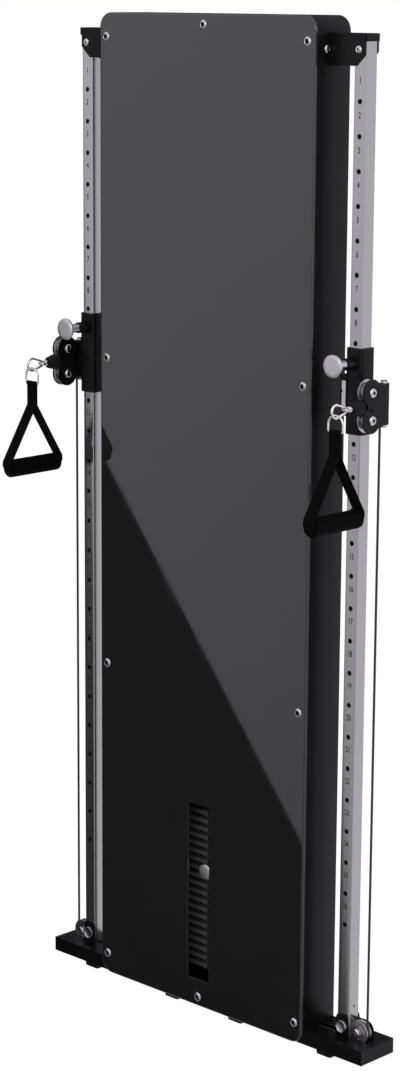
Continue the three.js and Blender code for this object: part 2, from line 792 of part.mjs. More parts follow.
// Swivel bracket, drawn about the cable's line midway between its pulleys, with its hinge behind
function swivelBracket() {
  const inside = swivelHalf - swivelSheet;
  const pieces = [];
  for (const [x0, x1, rear] of [[inside, swivelHalf, hingeBack], [-swivelHalf, -inside, innerPlateRear]]) {
    pieces.push(block(x0, x1, bridgeFront, rear, -earFace, earFace));
    for (const z of [-swivelPulleyZ, swivelPulleyZ]) {
      pieces.push(rod('x', lobeRadius, x0, x1, swivelPulleyY, z, fineSides));
    }
  }
  const band = new THREE.Shape();
  band.absarc(0, hingeBack, swivelHalf, 0, bandEnd, false);
  band.absarc(0, hingeBack, inside, bandEnd, 0, true);
  pieces.push(sheetXY(band, -earFace, earFace));
  const ear = new THREE.Shape();
  ear.moveTo(-swivelHalf, hingeBack);
  ear.lineTo(-swivelHalf, innerPlateRear - cheekThickness);
  ear.lineTo(swivelHalf, innerPlateRear - cheekThickness);
  ear.lineTo(swivelHalf, hingeBack);
  ear.absarc(0, hingeBack, swivelHalf, 0, Math.PI, false);
  const seat = barrelHalf + fit;
  const flangeEnd = earFace + hingeFlangeHeight;
  pieces.push(rod('z', hingePinRadius, -flangeEnd, flangeEnd, 0, hingeBack, middleSides));
  for (const side of [-1, 1]) {
    const ends = (a, b) => [Math.min(side * a, side * b), Math.max(side * a, side * b)];
    pieces.push(sheetXY(ear, ...ends(seat, earFace)));
    pieces.push(rod('z', hingeFlange, ...ends(seat, flangeEnd), 0, hingeBack, middleSides));
    pieces.push(rod(
      'x', axleRadius, -swivelHalf, swivelHalf, swivelPulleyY, side * swivelPulleyZ, wireSides));
  }
  const rise = seat - swivelPulleyZ;
  const pulleyRear = swivelPulleyY + Math.sqrt(pulleyRadius * pulleyRadius - rise * rise);
  const earFront = innerPlateRear - cheekThickness - overrun;
  const clearance = block(
    -inside, inside, earFront, pulleyRear + 2 * runningGap, -earFace - overrun, earFace + overrun);
  const cableWay = rod('z', earHole, -earFace - overrun, -seat + overrun);
  return cut(join(...pieces), clearance, cableWay);
}

// Where the cable leaves a point and meets the lower pulley of the bracket
function tangentAngle(y, z, turn) {
  const dy = y - swivelPulleyY;
  const dz = z + swivelPulleyZ;
  const distance = Math.hypot(dy, dz);
  return Math.atan2(dz, dy) + turn * Math.acos(pitchRadius / distance);
}

function bracketCable() {
  const bend = -barrelHalf;
  const first = tangentAngle(0, bend, 1);
  const last = tangentAngle(stopperRear, 0, -1);
  const points = [
    new THREE.Vector3(0, 0, -earFace),
    new THREE.Vector3(0, 0, bend),
    ...arcYZ(swivelPulleyY, -swivelPulleyZ, pitchRadius, first, last),
    new THREE.Vector3(0, stopperRear, 0),
    new THREE.Vector3(0, stopperFront, 0),
  ];
  const ferruleBack = stopperFront - fit;
  const ferrule = rod('y', ferruleRadius, ferruleBack - ferruleLength, ferruleBack, 0, 0, middleSides);
  const eyeHalf = eyeThickness / 2;
  const eye = rod('z', eyeRadius, -eyeHalf, eyeHalf, 0, eyeY, middleSides);
  const hole = rod('z', eyeHole, -eyeRadius, eyeRadius, 0, eyeY, middleSides);
  const cableEnd = rod('y', cableRadius, ferruleBack - overrun, stopperFront + overrun, 0, 0, wireSides);
  return join(tube(points, cableRadius), cableEnd, cut(join(ferrule, eye), hole));
}

function stopper() {
  const bore = cableRadius + fit;
  const profile = [
    [bore, stopperFront],
    [stopperTip, stopperFront],
    [stopperRadius, stopperShoulder],
    [stopperRadius, stopperHeel],
    [stopperNose, stopperRear],
    [bore, stopperRear],
    [bore, stopperFront],
  ];
  return turned('y', profile);
}

// Snap hook: a pear-shaped wire, closed on its upper side by the gate
function hookLine() {
  const rearY = eyeY - hookRearRadius;
  const span = rearY - hookFrontY;
  const lean = Math.asin((hookFrontRadius - hookRearRadius) / span);
  return { rearY, lean };
}

function snapHook() {
  const { rearY, lean } = hookLine();
  const top = Math.PI / 2 - lean;
  const points = [
    ...arcYZ(hookFrontY, 0, hookFrontRadius, top, 2 * Math.PI - top, hookSteps),
    ...arcYZ(rearY, 0, hookRearRadius, -top, top, hookSteps),
  ];
  return tube(points, hookWire, boltSides);
}

function gateEnds() {
  const { rearY, lean } = hookLine();
  const top = Math.PI / 2 - lean;
  const at = (y, radius) => new THREE.Vector3(0, y + radius * Math.cos(top), radius * Math.sin(top));
  const rear = at(rearY, hookRearRadius);
  const front = at(hookFrontY, hookFrontRadius);
  const along = front.clone().sub(rear).normalize();
  rear.addScaledVector(along, gateHeelGap);
  front.addScaledVector(along, -gateNoseGap);
  return { rear, front };
}

function gate() {
  const { rear, front } = gateEnds();
  return tube([rear, front], gateWire);
}

// D-ring through the hook, with its bar in the fold of the webbing
function dRing() {
  const top = hookWire + ringGap + ringWire - hookFrontRadius;
  const centre = top - ringHalf;
  const points = [
    new THREE.Vector3(ringHalf, 0, ringBarZ),
    ...arcXZ(0, centre, 0, ringHalf, 0, Math.PI, arcSteps * 2),
    new THREE.Vector3(-ringHalf, 0, ringBarZ),
  ];
  const bar = rod('x', ringWire, -ringHalf - ringWire, ringHalf + ringWire, 0, ringBarZ, boltSides);
  return join(tube(points, ringWire, boltSides), bar);
}

// Webbing: folded round the bar, sewn as a neck, then spread to the grip's ends and through it
function strap() {
  const fold = ringWire + webbingGap + webbing;
  const endIn = gripLength / 2 + webbingGap;
  const endOut = endIn + webbing;
  const shoulder = gripZ + gripRadius + turnRadius;
  const half = webbing / 2;
  const outline = new THREE.Shape();
  outline.moveTo(webbing, neckBottom);
  outline.lineTo(endOut, shoulder);
  outline.lineTo(endOut, gripZ - half + turnRadius);
  outline.absarc(endOut - turnRadius, gripZ - half + turnRadius, turnRadius, 0, -Math.PI / 2, true);
  outline.lineTo(-endOut + turnRadius, gripZ - half);
  outline.absarc(-endOut + turnRadius, gripZ - half + turnRadius, turnRadius, -Math.PI / 2, -Math.PI, true);
  outline.lineTo(-endOut, shoulder);
  outline.lineTo(-webbing, neckBottom);
  const lap = Math.asin(webbing / fold);
  outline.lineTo(-webbing, ringBarZ - fold * Math.cos(lap));
  outline.absarc(0, ringBarZ, fold, -Math.PI / 2 - lap, -Math.PI * 2.5 + lap, true);
  const slope = (shoulder - neckBottom) / (endOut - webbing);
  const inner = (y) => neckBottom + slope * (y - webbing) - webbing * Math.hypot(1, slope);
  const fingers = new THREE.Path();
  fingers.moveTo(0, inner(0));
  fingers.lineTo(-endIn, inner(endIn));
  fingers.lineTo(-endIn, gripZ + half);
  fingers.lineTo(endIn, gripZ + half);
  fingers.lineTo(endIn, inner(endIn));
  outline.holes.push(fingers);
  const side = webbingWidth / 2;
  const eye = rod('x', ringWire + webbingGap, -side - overrun, side + overrun, 0, ringBarZ, middleSides);
  return cut(sheetYZ(outline, -side, side), eye);
}

function grip() {
  const half = gripLength / 2;
  const profile = [
    [gripBore, -half],
    [gripRadius - gripEdge / 2, -half],
    [gripRadius, gripEdge - half],
    [gripRadius, half - gripEdge],
    [gripRadius - gripEdge / 2, half],
    [gripBore, half],
    [gripBore, -half],
  ];
  return turned('y', profile, fineSides);
}

// Assembly
add(root, 'base_beam', baseBeam(), looks.black);
add(root, 'housing_shell', housingShell(), looks.black);
add(root, 'front_panel', frontPanel(), looks.gloss);
add(root, 'back_panel', backPanel(), looks.black);
add(root, 'top_crossmember', topCrossmember(), looks.black);
add(root, 'resting_plates', plates(restingCount, stackBottom), looks.plate);

const stack = new THREE.Group();
root.add(stack);
add(stack, 'lifted_plates', plates(liftedCount, liftedBottom), looks.plate);
add(stack, 'selector_stem', selectorStem(), looks.steel);
add(stack, 'selector_pin', selectorPin(), looks.steel,
  0, 0, liftedBottom + plateThickness / 2);
add(stack, 'floating_pulley', pulley('y'), looks.pulley, 0, postY, floatingZ);
add(root, 'lift_cable', liftCable(), looks.cable);

for (const [label, side] of [['left', -1], ['right', 1]]) {
  const sided = (geometry) => (side < 0 ? mirrored(geometry) : geometry);

  add(root, `foot_outer_${label}`, foot(), looks.rubber, side * outerFootX, 0, 0);
  add(root, `foot_inner_${label}`, foot(), looks.rubber, side * innerFootX, 0, 0);
  add(root, `post_${label}`, sided(post()), looks.silver, side * postX, postY, postFoot);
  add(root, `top_bracket_${label}`, sided(topBracket()), looks.black);
  add(root, `run_cable_${label}`, sided(runCable()), looks.cable);
  const postCable = tube([
    new THREE.Vector3(0, 0, basePulleyZ + cableRadius + fit),
    new THREE.Vector3(0, 0, bracketZ - earFace - fit),
  ], cableRadius);
  add(root, `post_cable_${label}`, postCable, looks.cable, side * cableX, postY, 0);

  const rodLength = rod('z', rodRadius, beamTop + fit, rodTop, 0, 0, middleSides);
  add(root, `guide_rod_${label}`, rodLength, looks.steel, side * stackX, postY, 0);
  const bumper = turned('z', [
    [rodRadius + fit, beamTop + fit],
    [bumperRadius, beamTop + fit],
    [bumperRadius, stackBottom - fit],
    [rodRadius + fit, stackBottom - fit],
    [rodRadius + fit, beamTop + fit],
  ]);
  add(root, `stack_bumper_${label}`, bumper, looks.rubber, side * stackX, postY, 0);

  add(root, `base_pulley_outer_${label}`, pulley('y'), looks.pulley, side * basePulleyX, postY, basePulleyZ);
  add(root, `base_pulley_inner_${label}`, pulley('y'), looks.pulley, side * innerPulleyX, postY, basePulleyZ);
  add(root, `top_pulley_outer_${label}`, pulley('y'), looks.pulley, side * topOuterX, postY, topPulleyZ);
  add(root, `top_pulley_inner_${label}`, pulley('y'), looks.pulley, side * topInnerX, postY, topPulleyZ);

  const slider = new THREE.Group();
  slider.position.set(side * postX, postY, carriageZ);
  root.add(slider);
  add(slider, `carriage_${label}`, sided(carriage()), looks.black);
  add(slider, `pop_pin_${label}`, popPin(), looks.steel);

  const swivel = new THREE.Group();
  swivel.position.set(side * cableStandOff, 0, -swivelDrop);
  slider.add(swivel);
  add(swivel, `swivel_bracket_${label}`, sided(swivelBracket()), looks.black);
  add(swivel, `pulley_upper_${label}`, pulley('x'), looks.pulley, 0, swivelPulleyY, swivelPulleyZ);
  add(swivel, `pulley_lower_${label}`, pulley('x'), looks.pulley, 0, swivelPulleyY, -swivelPulleyZ);
  add(swivel, `bracket_cable_${label}`, bracketCable(), looks.cable);
  add(swivel, `stopper_${label}`, stopper(), looks.rubber);
  add(swivel, `snap_hook_${label}`, snapHook(), looks.steel);
  add(swivel, `gate_${label}`, gate(), looks.steel);

  const handle = new THREE.Group();
  handle.position.set(0, handleY, 0);
  swivel.add(handle);
  add(handle, `d_ring_${label}`, dRing(), looks.steel);
  add(handle, `strap_${label}`, strap(), looks.webbing);
  add(handle, `grip_${label}`, grip(), looks.foam, 0, 0, gripZ);
}

root.position.set(0, rootY, rootZ);

export default root;
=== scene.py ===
import math

import bmesh
import bpy
from mathutils import Matrix, Vector


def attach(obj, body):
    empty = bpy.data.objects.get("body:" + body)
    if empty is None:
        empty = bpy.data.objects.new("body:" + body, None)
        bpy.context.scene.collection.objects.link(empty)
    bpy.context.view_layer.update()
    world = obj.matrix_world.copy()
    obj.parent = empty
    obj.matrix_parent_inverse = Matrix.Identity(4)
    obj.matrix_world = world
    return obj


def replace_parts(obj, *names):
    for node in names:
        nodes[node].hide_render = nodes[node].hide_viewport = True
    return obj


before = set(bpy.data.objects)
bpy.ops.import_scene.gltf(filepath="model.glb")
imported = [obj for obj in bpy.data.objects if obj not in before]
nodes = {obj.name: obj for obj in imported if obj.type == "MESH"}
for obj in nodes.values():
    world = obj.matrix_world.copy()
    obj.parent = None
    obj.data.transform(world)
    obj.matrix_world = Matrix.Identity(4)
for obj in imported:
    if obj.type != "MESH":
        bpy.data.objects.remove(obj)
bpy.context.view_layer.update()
bpy.context.scene.view_settings.view_transform = "Standard"

sides = {"left": -1, "right": 1}
mm = 0.001
fullTurn = 2 * math.pi
zero = {"y": 18.85, "z": 12.0}  # where the drawing's zero lies in the shared frame, in millimetres


def spot(x, y, z):
    # a point of the machine's own drawing: millimetres, y from the panel's face, z from its foot
    return Vector((x * mm, (y + zero["y"]) * mm, (z + zero["z"]) * mm))


# heights and distances that several pieces share, in millimetres
layout = {
    "panelHalf": 293, "panelTop": 2050, "postX": 370.2, "postY": 54.5, "postFront": 39.5,
    "carriageZ": 1401, "cableX": 422.1, "bracketZ": 1325.9, "plateHalf": 9.9, "hingeBack": 10.5,
    "pulleyY": -35, "pulleyRise": 26.5, "basePulleyX": 403.6, "basePulleyZ": 47, "pitch": 18.5,
    "cable": 2.4, "lugFront": 36.2, "lugBolt": 55, "bracketBolt": 1988.3,
    "firstHole": 1892.8, "holeStep": 64.9,
}


def onBracket(side, y, z, x=0):
    # a point given from the swivel bracket's own cable line
    return spot(side * layout["cableX"] + x, layout["postY"] + y, layout["bracketZ"] + z)


def pick(table, names):
    # several values of one dictionary at once
    return [table[name] for name in names.split()]


class Signal:
    # a socket that takes part in Python arithmetic
    def __init__(self, shading, socket):
        self.shading = shading
        self.socket = socket

    def __add__(self, other):
        return self.shading.maths("ADD", self, other)

    def __sub__(self, other):
        return self.shading.maths("SUBTRACT", self, other)

    def __rsub__(self, other):
        return self.shading.maths("SUBTRACT", other, self)

    def __mul__(self, other):
        return self.shading.maths("MULTIPLY", self, other)


class Shading:
    # a node tree, with one method that adds any node
    def __init__(self, tree):
        self.tree = tree

    def add(self, kind, settings=None, inputs=None, output=0):
        node = self.tree.nodes.new(kind)
        for key, value in (settings or {}).items():
            setattr(node, key, value)
        for key, value in (inputs or {}).items():
            self.feed(node, key, value)
        return Signal(self, node.outputs[output]) if node.outputs else node

    def feed(self, node, key, value):
        if isinstance(value, Signal):
            self.tree.links.new(value.socket, node.inputs[key])
        else:
            node.inputs[key].default_value = value

    def maths(self, operation, *values):
        return self.add("ShaderNodeMath", {"operation": operation}, dict(enumerate(values)))

    def part(self, vector, name):
        # the X, Y or Z of a vector
        return self.add("ShaderNodeSeparateXYZ", {}, {0: vector}, name)

    def limited(self, value, least, most):
        return self.maths("MINIMUM", self.maths("MAXIMUM", value, least), most)


class Finish(Shading):
    # one material, with the shader that its colour and relief go into
    names = {"colour": "Base Color", "rough": "Roughness", "specular": "Specular IOR Level", "ior": "IOR",
             "metal": "Metallic"}

    def __init__(self, name, **constants):
        self.material = bpy.data.materials.new(name)
        self.material.use_nodes = True
        super().__init__(self.material.node_tree)
        self.shader = self.tree.nodes["Principled BSDF"]
        for key, value in constants.items():
            self.shader.inputs[self.names[key]].default_value = value

    def greys(self, mask, first, second, tint=0.0):
        # a colour that goes from the first grey to the second with the mask
        mix = {0: mask, 6: grey(first, tint), 7: grey(second, tint)}
        colour = self.add("ShaderNodeMix", {"data_type": "RGBA"}, mix, 2)
        self.feed(self.shader, "Base Color", colour)

    def roughness(self, value):
        self.feed(self.shader, "Roughness", value)

    def relief(self, height, strength, distance):
        bump = {"Height": height, "Strength": strength, "Distance": distance}
        self.feed(self.shader, "Normal", self.add("ShaderNodeBump", {}, bump))

    def place(self, stretch=(1, 1, 1)):
        here = self.add("ShaderNodeTexCoord", output="Object")
        return self.add("ShaderNodeMapping", {}, {"Vector": here, "Scale": stretch})

    def noise(self, scale, detail=3, stretch=(1, 1, 1), grit=0.55):
        sockets = {"Vector": self.place(stretch), "Scale": scale, "Detail": detail, "Roughness": grit}
        return self.add("ShaderNodeTexNoise", {}, sockets)

    def ramp(self, value, low, high):
        return self.add("ShaderNodeMapRange", {}, {0: value, 1: low, 2: high})

    def strand(self):
        # metres across and along a band or a wire, kept in the mesh
        kept = self.add("ShaderNodeAttribute", {"attribute_name": "strand"}, output="Vector")
        return self.part(kept, "X"), self.part(kept, "Y")

    def wave(self, value, turns):
        return self.maths("SINE", value * (turns * fullTurn))


def grey(value, tint=0.0):
    return (value, value * (1 - tint), value * (1 + tint), 1)


panelLook = {"black": 0.0172, "haze": 0.0212, "tint": 0.02, "roughness": 0.018, "wiped": 0.03,
             "ior": 1.585}


def glossPanelFinish():
    # lacquered sheet: deep black under a clear gloss, with faint wipe marks
    finish = Finish("glossPanel", ior=panelLook["ior"])
    finish.greys(finish.noise(3.5, 3), *pick(panelLook, "black haze tint"))
    wipe = finish.ramp(finish.noise(14, 4, (1, 1, 0.35)), 0.35, 0.8)
    finish.roughness(wipe * panelLook["wiped"] + panelLook["roughness"])
    finish.relief(finish.noise(9, 1), 0.01, 0.001)
    return finish


# housing and beam are darker shares of the same black paint: painted shade
paintLook = {"black": 0.0052, "worn": 0.0086, "tint": 0.01, "specular": 0.13, "ior": 1.45,
             "roughness": 0.38, "housing": 0.65, "beam": 0.55}


def paintFinish(name="blackPaint", roughness=paintLook["roughness"], share=1.0):
    # powder coat: fine orange peel, slightly polished where hands and cloths go
    finish = Finish(name, ior=paintLook["ior"], specular=paintLook["specular"])
    cloud = finish.ramp(finish.noise(11, 4), 0.3, 0.75)
    finish.greys(cloud, paintLook["black"] * share, paintLook["worn"] * share, paintLook["tint"])
    finish.roughness(finish.noise(45, 3) * 0.16 + (roughness - 0.08))
    finish.relief(finish.noise(1100, 2) + finish.noise(300, 1) * 0.6, 0.12, 0.0004)
    return finish


postLook = {"colour": 0.40, "dark": 0.33, "tint": 0.008, "metal": 0.88, "specular": 0.2,
            "roughness": 0.17}


def postFinish():
    # bright drawn tube: fine lines along its length
    finish = Finish("satinPost", metal=postLook["metal"], specular=postLook["specular"])
    lines = finish.noise(1.0, 5, (1500, 1500, 3.5), 0.6)
    broad = finish.noise(1.0, 2, (90, 90, 0.6))
    finish.greys(lines * 0.5 + broad * 0.5, *pick(postLook, "dark colour tint"))
    finish.roughness(lines * 0.1 + broad * 0.08 + (postLook["roughness"] - 0.09))
    finish.relief(lines, 0.05, 0.0002)
    return finish


# bare metals: shade, roughness, and how fine, how drawn out and how deep their marks are
brightLooks = {
    "brightSteel": (0.74, 0.16, 600, (1, 0.25, 1), 0.06),
    "groundSteel": (0.42, 0.30, 600, (1, 0.25, 1), 0.06),
    "turnedPulley": (0.42, 0.30, 260, (1, 1, 1), 0.1),
    "knobAluminium": (0.54, 0.36, 1100, (1, 1, 1), 0.2),
    "screwSteel": (0.50, 0.20, 700, (1, 1, 1), 0.08),
}


def brightFinish(name):
    shade, roughness, fineness, stretch, depth = brightLooks[name]
    finish = Finish(name, metal=1.0)
    marks = finish.noise(fineness, 4, stretch)
    finish.greys(marks, shade * 0.86, shade, 0.01)
    finish.roughness(marks * 0.12 + (roughness - 0.06))
    finish.relief(marks, depth, 0.0001)
    return finish


# seam is the painted shade between the plates, face the painted light on each plate's face
plateLook = {"pitch": 0.01767, "foot": 0.083, "seam": 0.008, "face": 0.085, "specular": 0.5,
             "roughness": 0.34}


def castFinish():
    # cast plates: grainy faces, with painted shade towards the seam between each plate and the next and
    # painted light on the faces
    finish = Finish("castPlate", specular=plateLook["specular"])
    grain = finish.noise(420, 4)
    turn = (finish.part(finish.place(), "Z") - plateLook["foot"]) * (math.pi / plateLook["pitch"])
    plate = finish.maths("ABSOLUTE", finish.maths("SINE", turn))
    # the band is painted shade at the seams and painted light on the faces; the grain is the iron's own
    worn = finish.ramp(plate, 0.55, 0.95) * (grain * 0.4 + 0.8)
    finish.greys(worn, *pick(plateLook, "seam face"))
    finish.roughness(grain * 0.25 + plateLook["roughness"])
    finish.relief(grain, 0.35, 0.0006)
    return finish


rubberLook = {"black": 0.0058, "dusty": 0.0105, "specular": 0.14, "roughness": 0.5}


def rubberFinish():
    finish = Finish("rubber", specular=rubberLook["specular"])
    grain = finish.noise(700, 4)
    finish.greys(grain, *pick(rubberLook, "black dusty"))
    finish.roughness(grain * 0.2 + rubberLook["roughness"])
    finish.relief(grain, 0.25, 0.0004)
    return finish


foamLook = {"raised": 0.0040, "sunk": 0.0022, "cells": 750.0, "specular": 0.03, "roughness": 0.66}


def foamFinish():
    # closed-cell foam tube with a fine pebbled skin, darker in its pits: painted shade
    finish = Finish("gripFoam", specular=foamLook["specular"])
    cells = finish.add("ShaderNodeTexVoronoi", {}, {"Vector": finish.place(), "Scale": foamLook["cells"]})
    # sunk is the painted shade in the pits between the cells
    finish.greys(cells, *pick(foamLook, "raised sunk"))
    finish.roughness(finish.noise(60, 4) * 0.15 + foamLook["roughness"])
    finish.relief(1 - cells, 0.45, 0.0005)
    return finish


# ribs a metre across and along; deep is the painted shade between the ribs
webbingLook = {"warp": 420, "weft": 520, "deep": 0.0018, "high": 0.0052, "specular": 0.03,
               "roughness": 0.62}


def webbingFinish():
    # plain woven nylon, its warp and weft as ribs, with painted shade between them
    finish = Finish("webbing", specular=webbingLook["specular"])
    across, along = finish.strand()
    weave = finish.wave(across, webbingLook["warp"]) * finish.wave(along, webbingLook["weft"]) * 0.5 + 0.5
    fuzz = finish.noise(1400, 3)
    # the weave part is painted shade between the ribs; the fuzz is the cloth's own tone
    finish.greys(weave * 0.7 + fuzz * 0.3, *pick(webbingLook, "deep high"))
    finish.roughness(fuzz * 0.2 + webbingLook["roughness"])
    finish.relief(weave + fuzz * 0.5, 0.5, 0.0005)
    return finish


# strands round the rope, and turns of them a metre
ropeLook = {"strands": 6, "turns": 110, "dark": 0.016, "light": 0.042, "specular": 0.3, "roughness": 0.33}


def ropeFinish():
    # coated wire rope: the strands show faintly, with painted shade in the grooves between them
    finish = Finish("wireRope", specular=ropeLook["specular"])
    across, along = finish.strand()
    lay = finish.wave(across * ropeLook["strands"] + along * ropeLook["turns"], 1) * 0.5 + 0.5
    # darker in the grooves of the lay: painted shade
    finish.greys(lay, *pick(ropeLook, "dark light"))
    finish.roughness(lay * 0.15 + ropeLook["roughness"])
    finish.relief(lay, 0.3, 0.0005)
    return finish


inkLook = {"dark": 0.03, "worn": 0.075, "specular": 0.2, "roughness": 0.45}


def inkFinish():
    finish = Finish("numberInk", specular=inkLook["specular"])
    grain = finish.noise(900, 3)
    finish.greys(finish.ramp(grain, 0.35, 0.8), *pick(inkLook, "dark worn"))
    finish.roughness(grain * 0.2 + inkLook["roughness"])
    return finish


finishes = {
    "gloss_panel": glossPanelFinish(),
    "black_paint": paintFinish(),
    "silver_post": postFinish(),
    "bright_steel": brightFinish("brightSteel"),
    "rod_steel": brightFinish("groundSteel"),
    "plate_iron": castFinish(),
    "rubber": rubberFinish(),
    "cable": ropeFinish(),
    "webbing": webbingFinish(),
    "foam": foamFinish(),
    "pulley": brightFinish("turnedPulley"),
}
knobFinish = brightFinish("knobAluminium")
screwFinish = brightFinish("screwSteel")
# black finish for black parts and thread, also used as painted shade in the screw sockets and hole mouths
blackFinishAndShade = paintFinish("blackFinishAndShade", 0.5, 0.45)
ink = inkFinish()
# darker copies of the black paint for the housing and the beam: painted shade
housingShadedPaint = paintFinish("housingShadedPaint", share=paintLook["housing"])
beamShadedPaint = paintFinish("beamShadedPaint", share=paintLook["beam"])
print("finishes ready")


def inScene(name, data):
    thing = bpy.data.objects.new(name, data)
    bpy.context.scene.collection.objects.link(thing)
    return thing


def makePiece(name, shape, slot, body, finish=None, angle=35, strand=None):
    points, faces = shape
    mesh = bpy.data.meshes.new(name)
    mesh.from_pydata([tuple(p) for p in points], [], faces)
    mesh.validate()
    mesh.update()
    if strand:
        layer = mesh.attributes.new("strand", "FLOAT_VECTOR", "POINT")
        for item, value in zip(layer.data, strand):
            item.vector = value
    return dress(name, mesh, slot, body, finish, angle)


def standIn(node, suffix, *details, **more):
    # a piece in place of one solid
    piece = makePiece(f"{node}_{suffix}", *details, **more)
    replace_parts(piece, node)
    return piece


def dress(name, mesh, slot, body, finish=None, angle=35):
    piece = inScene(name, mesh)
    mesh.materials.clear()
    mesh.materials.append((finish or finishes[slot]).material)
    smoothByAngle(mesh, angle)
    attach(piece, body)
    return piece


def smoothByAngle(mesh, angle):
    work = bmesh.new()
    work.from_mesh(mesh)
    bmesh.ops.recalc_face_normals(work, faces=work.faces)
    limit = math.radians(angle)
    for face in work.faces:
        face.smooth = True
    for edge in work.edges:
        edge.smooth = len(edge.link_faces) == 2 and edge.calc_face_angle(0) < limit
    work.to_mesh(mesh)
    work.free()


def eased(piece, width, segments=2, sharp=40):
    # a small round, width in millimetres, on every edge that turns by more than sharp degrees
    tool = piece.modifiers.new("edge", "BEVEL")
    tool.width = width * mm
    tool.segments = segments
    tool.limit_method = "ANGLE"
    tool.angle_limit = math.radians(sharp)
    tool.harden_normals = True
    return piece


def merged(shapes):
    # several closed forms in one mesh
    points, faces = [], []
    for more, own in shapes:
        faces += [tuple(len(points) + i for i in face) for face in own]
        points += more
    return points, faces


def ringMesh(rings, closed=False):
    # quads between rings of equal count; the ends are capped, or joined to each other
    count = len(rings[0])
    points = [p for ring in rings for p in ring]
    faces = []
    last = len(rings) - 1
    pairs = [(k, k + 1) for k in range(last)] + ([(last, 0)] if closed else [])
    for a, b in pairs:
        for i in range(count):
            j = (i + 1) % count
            faces.append((a * count + i, a * count + j, b * count + j, b * count + i))
    if not closed:
        faces.append(tuple(range(count - 1, -1, -1)))
        faces.append(tuple(range(last * count, len(points))))
    return points, faces


axes = {"x": (Vector((0, 1, 0)), Vector((0, 0, 1)), Vector((1, 0, 0))),
        "y": (Vector((0, 0, 1)), Vector((1, 0, 0)), Vector((0, 1, 0))),
        "z": (Vector((1, 0, 0)), Vector((0, 1, 0)), Vector((0, 0, 1)))}


def turnedShape(centre, axis, profile, count=64, closed=False):
    # profile: (radius, distance along the axis); a radius of 0 closes an end
    u, v, w = axes[axis]
    turns = [fullTurn * i / count for i in range(count)]
    spokes = [u * math.cos(t) + v * math.sin(t) for t in turns]
    rings = []
    for radius, along in profile:
        radius = max(radius, 0.01)
        rings.append([centre + w * (along * mm) + spoke * (radius * mm) for spoke in spokes])
    return ringMesh(rings, closed)


def sweepShape(line, radius, count=16, closed=False):
    # a round wire along a line of points, and the strand value of each of its points
    rings, strand = [], []
    total = len(line)
    turns = [fullTurn * i / count for i in range(count)]
    normal = None
    travel = 0.0
    for k, here in enumerate(line):
        before = line[k - 1] if closed or k else line[0]
        after = line[(k + 1) % total] if closed or k < total - 1 else line[-1]
        tangent = (after - before).normalized()
        if normal is None:
            normal = tangent.orthogonal().normalized()
        normal = (normal - tangent * normal.dot(tangent)).normalized()
        other = tangent.cross(normal)
        if k:
            travel += (here - line[k - 1]).length
        rings.append([here + (normal * math.cos(t) + other * math.sin(t)) * (radius * mm) for t in turns])
        strand += [(i / count, travel, 0) for i in range(count)]
    return ringMesh(rings, closed), strand


def sweep(node, suffix, line, radius, slot, body, count=16, closed=False):
    # a wire or cable in place of its solid
    shape, strand = sweepShape(line, radius, count, closed)
    standIn(node, suffix, shape, slot, body, None, 50, strand)


def arc(centre, radius, start, end, steps, plane="yz"):
    # degrees, from the plane's first axis towards its second
    points = []
    for k in range(steps + 1):
        turn = math.radians(start + (end - start) * k / steps)
        a, b = radius * math.cos(turn), radius * math.sin(turn)
        points.append(centre + Vector({"yz": (0, a, b), "xz": (a, 0, b)}[plane]) * mm)
    return points


def between(first, last, steps):
    # evenly spaced points on a straight line
    return [first.lerp(last, k / steps) for k in range(steps + 1)]


def extruded(outline, near, far):
    # a flat outline in x and z, from one y to another
    return ringMesh([[spot(x, y, z) for x, z in outline] for y in (near, far)])


def cleanCopy(node, slot, body, width=0.0, angle=32, finish=None, segments=2):
    # the node's own form with its flats merged and its edges eased
    mesh = nodes[node].data.copy()
    work = bmesh.new()
    work.from_mesh(mesh)
    bmesh.ops.remove_doubles(work, verts=work.verts, dist=2e-6)
    bmesh.ops.dissolve_limit(work, angle_limit=math.radians(0.5), verts=work.verts, edges=work.edges)
    work.to_mesh(mesh)
    work.free()
    for name in [a.name for a in mesh.attributes if a.name == "custom_normal"]:
        mesh.attributes.remove(mesh.attributes[name])
    piece = dress(node + "_dressed", mesh, slot, body, finish, angle)
    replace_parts(piece, node)
    return eased(piece, width, segments) if width else piece


# sky lights the surfaces, glow is what they mirror, dimmed low in front, behind and far aside
studio = {
    "camera": (3.53374, -3.62179, 2.10913), "yaw": -44.153, "pitch": -12.048, "roll": 0.3375,
    "focalPixels": 2561.82, "frameHeight": 1071, "sensor": 24,
    "sky": 0.66, "skyTint": (0.98, 0.985, 1, 1), "overhead": 0.4,
    "glow": 1.12, "glowTint": (1, 0.965, 1.06, 1), "leastGlow": 0.2, "fall": 1.9,
    "behind": 1.1, "behindFrom": 0.5, "behindMost": 0.85,
    "aside": 6, "asideFrom": 5.0, "asideMost": 0.75,
    "floorReach": 60, "floorWhite": 1.11, "floorShare": 0.88,
}
lamps = {
    "keyLamp": {"place": (2.6, -2.2, 3.4), "target": (0, 0, 1.1), "size": 1.6, "power": 30.0,
                "mirrored": True},
    "fillLamp": {"place": (-3.0, -2.6, 2.6), "target": (0, 0, 1.0), "size": 2.0, "power": 14.0,
                 "mirrored": False},
}


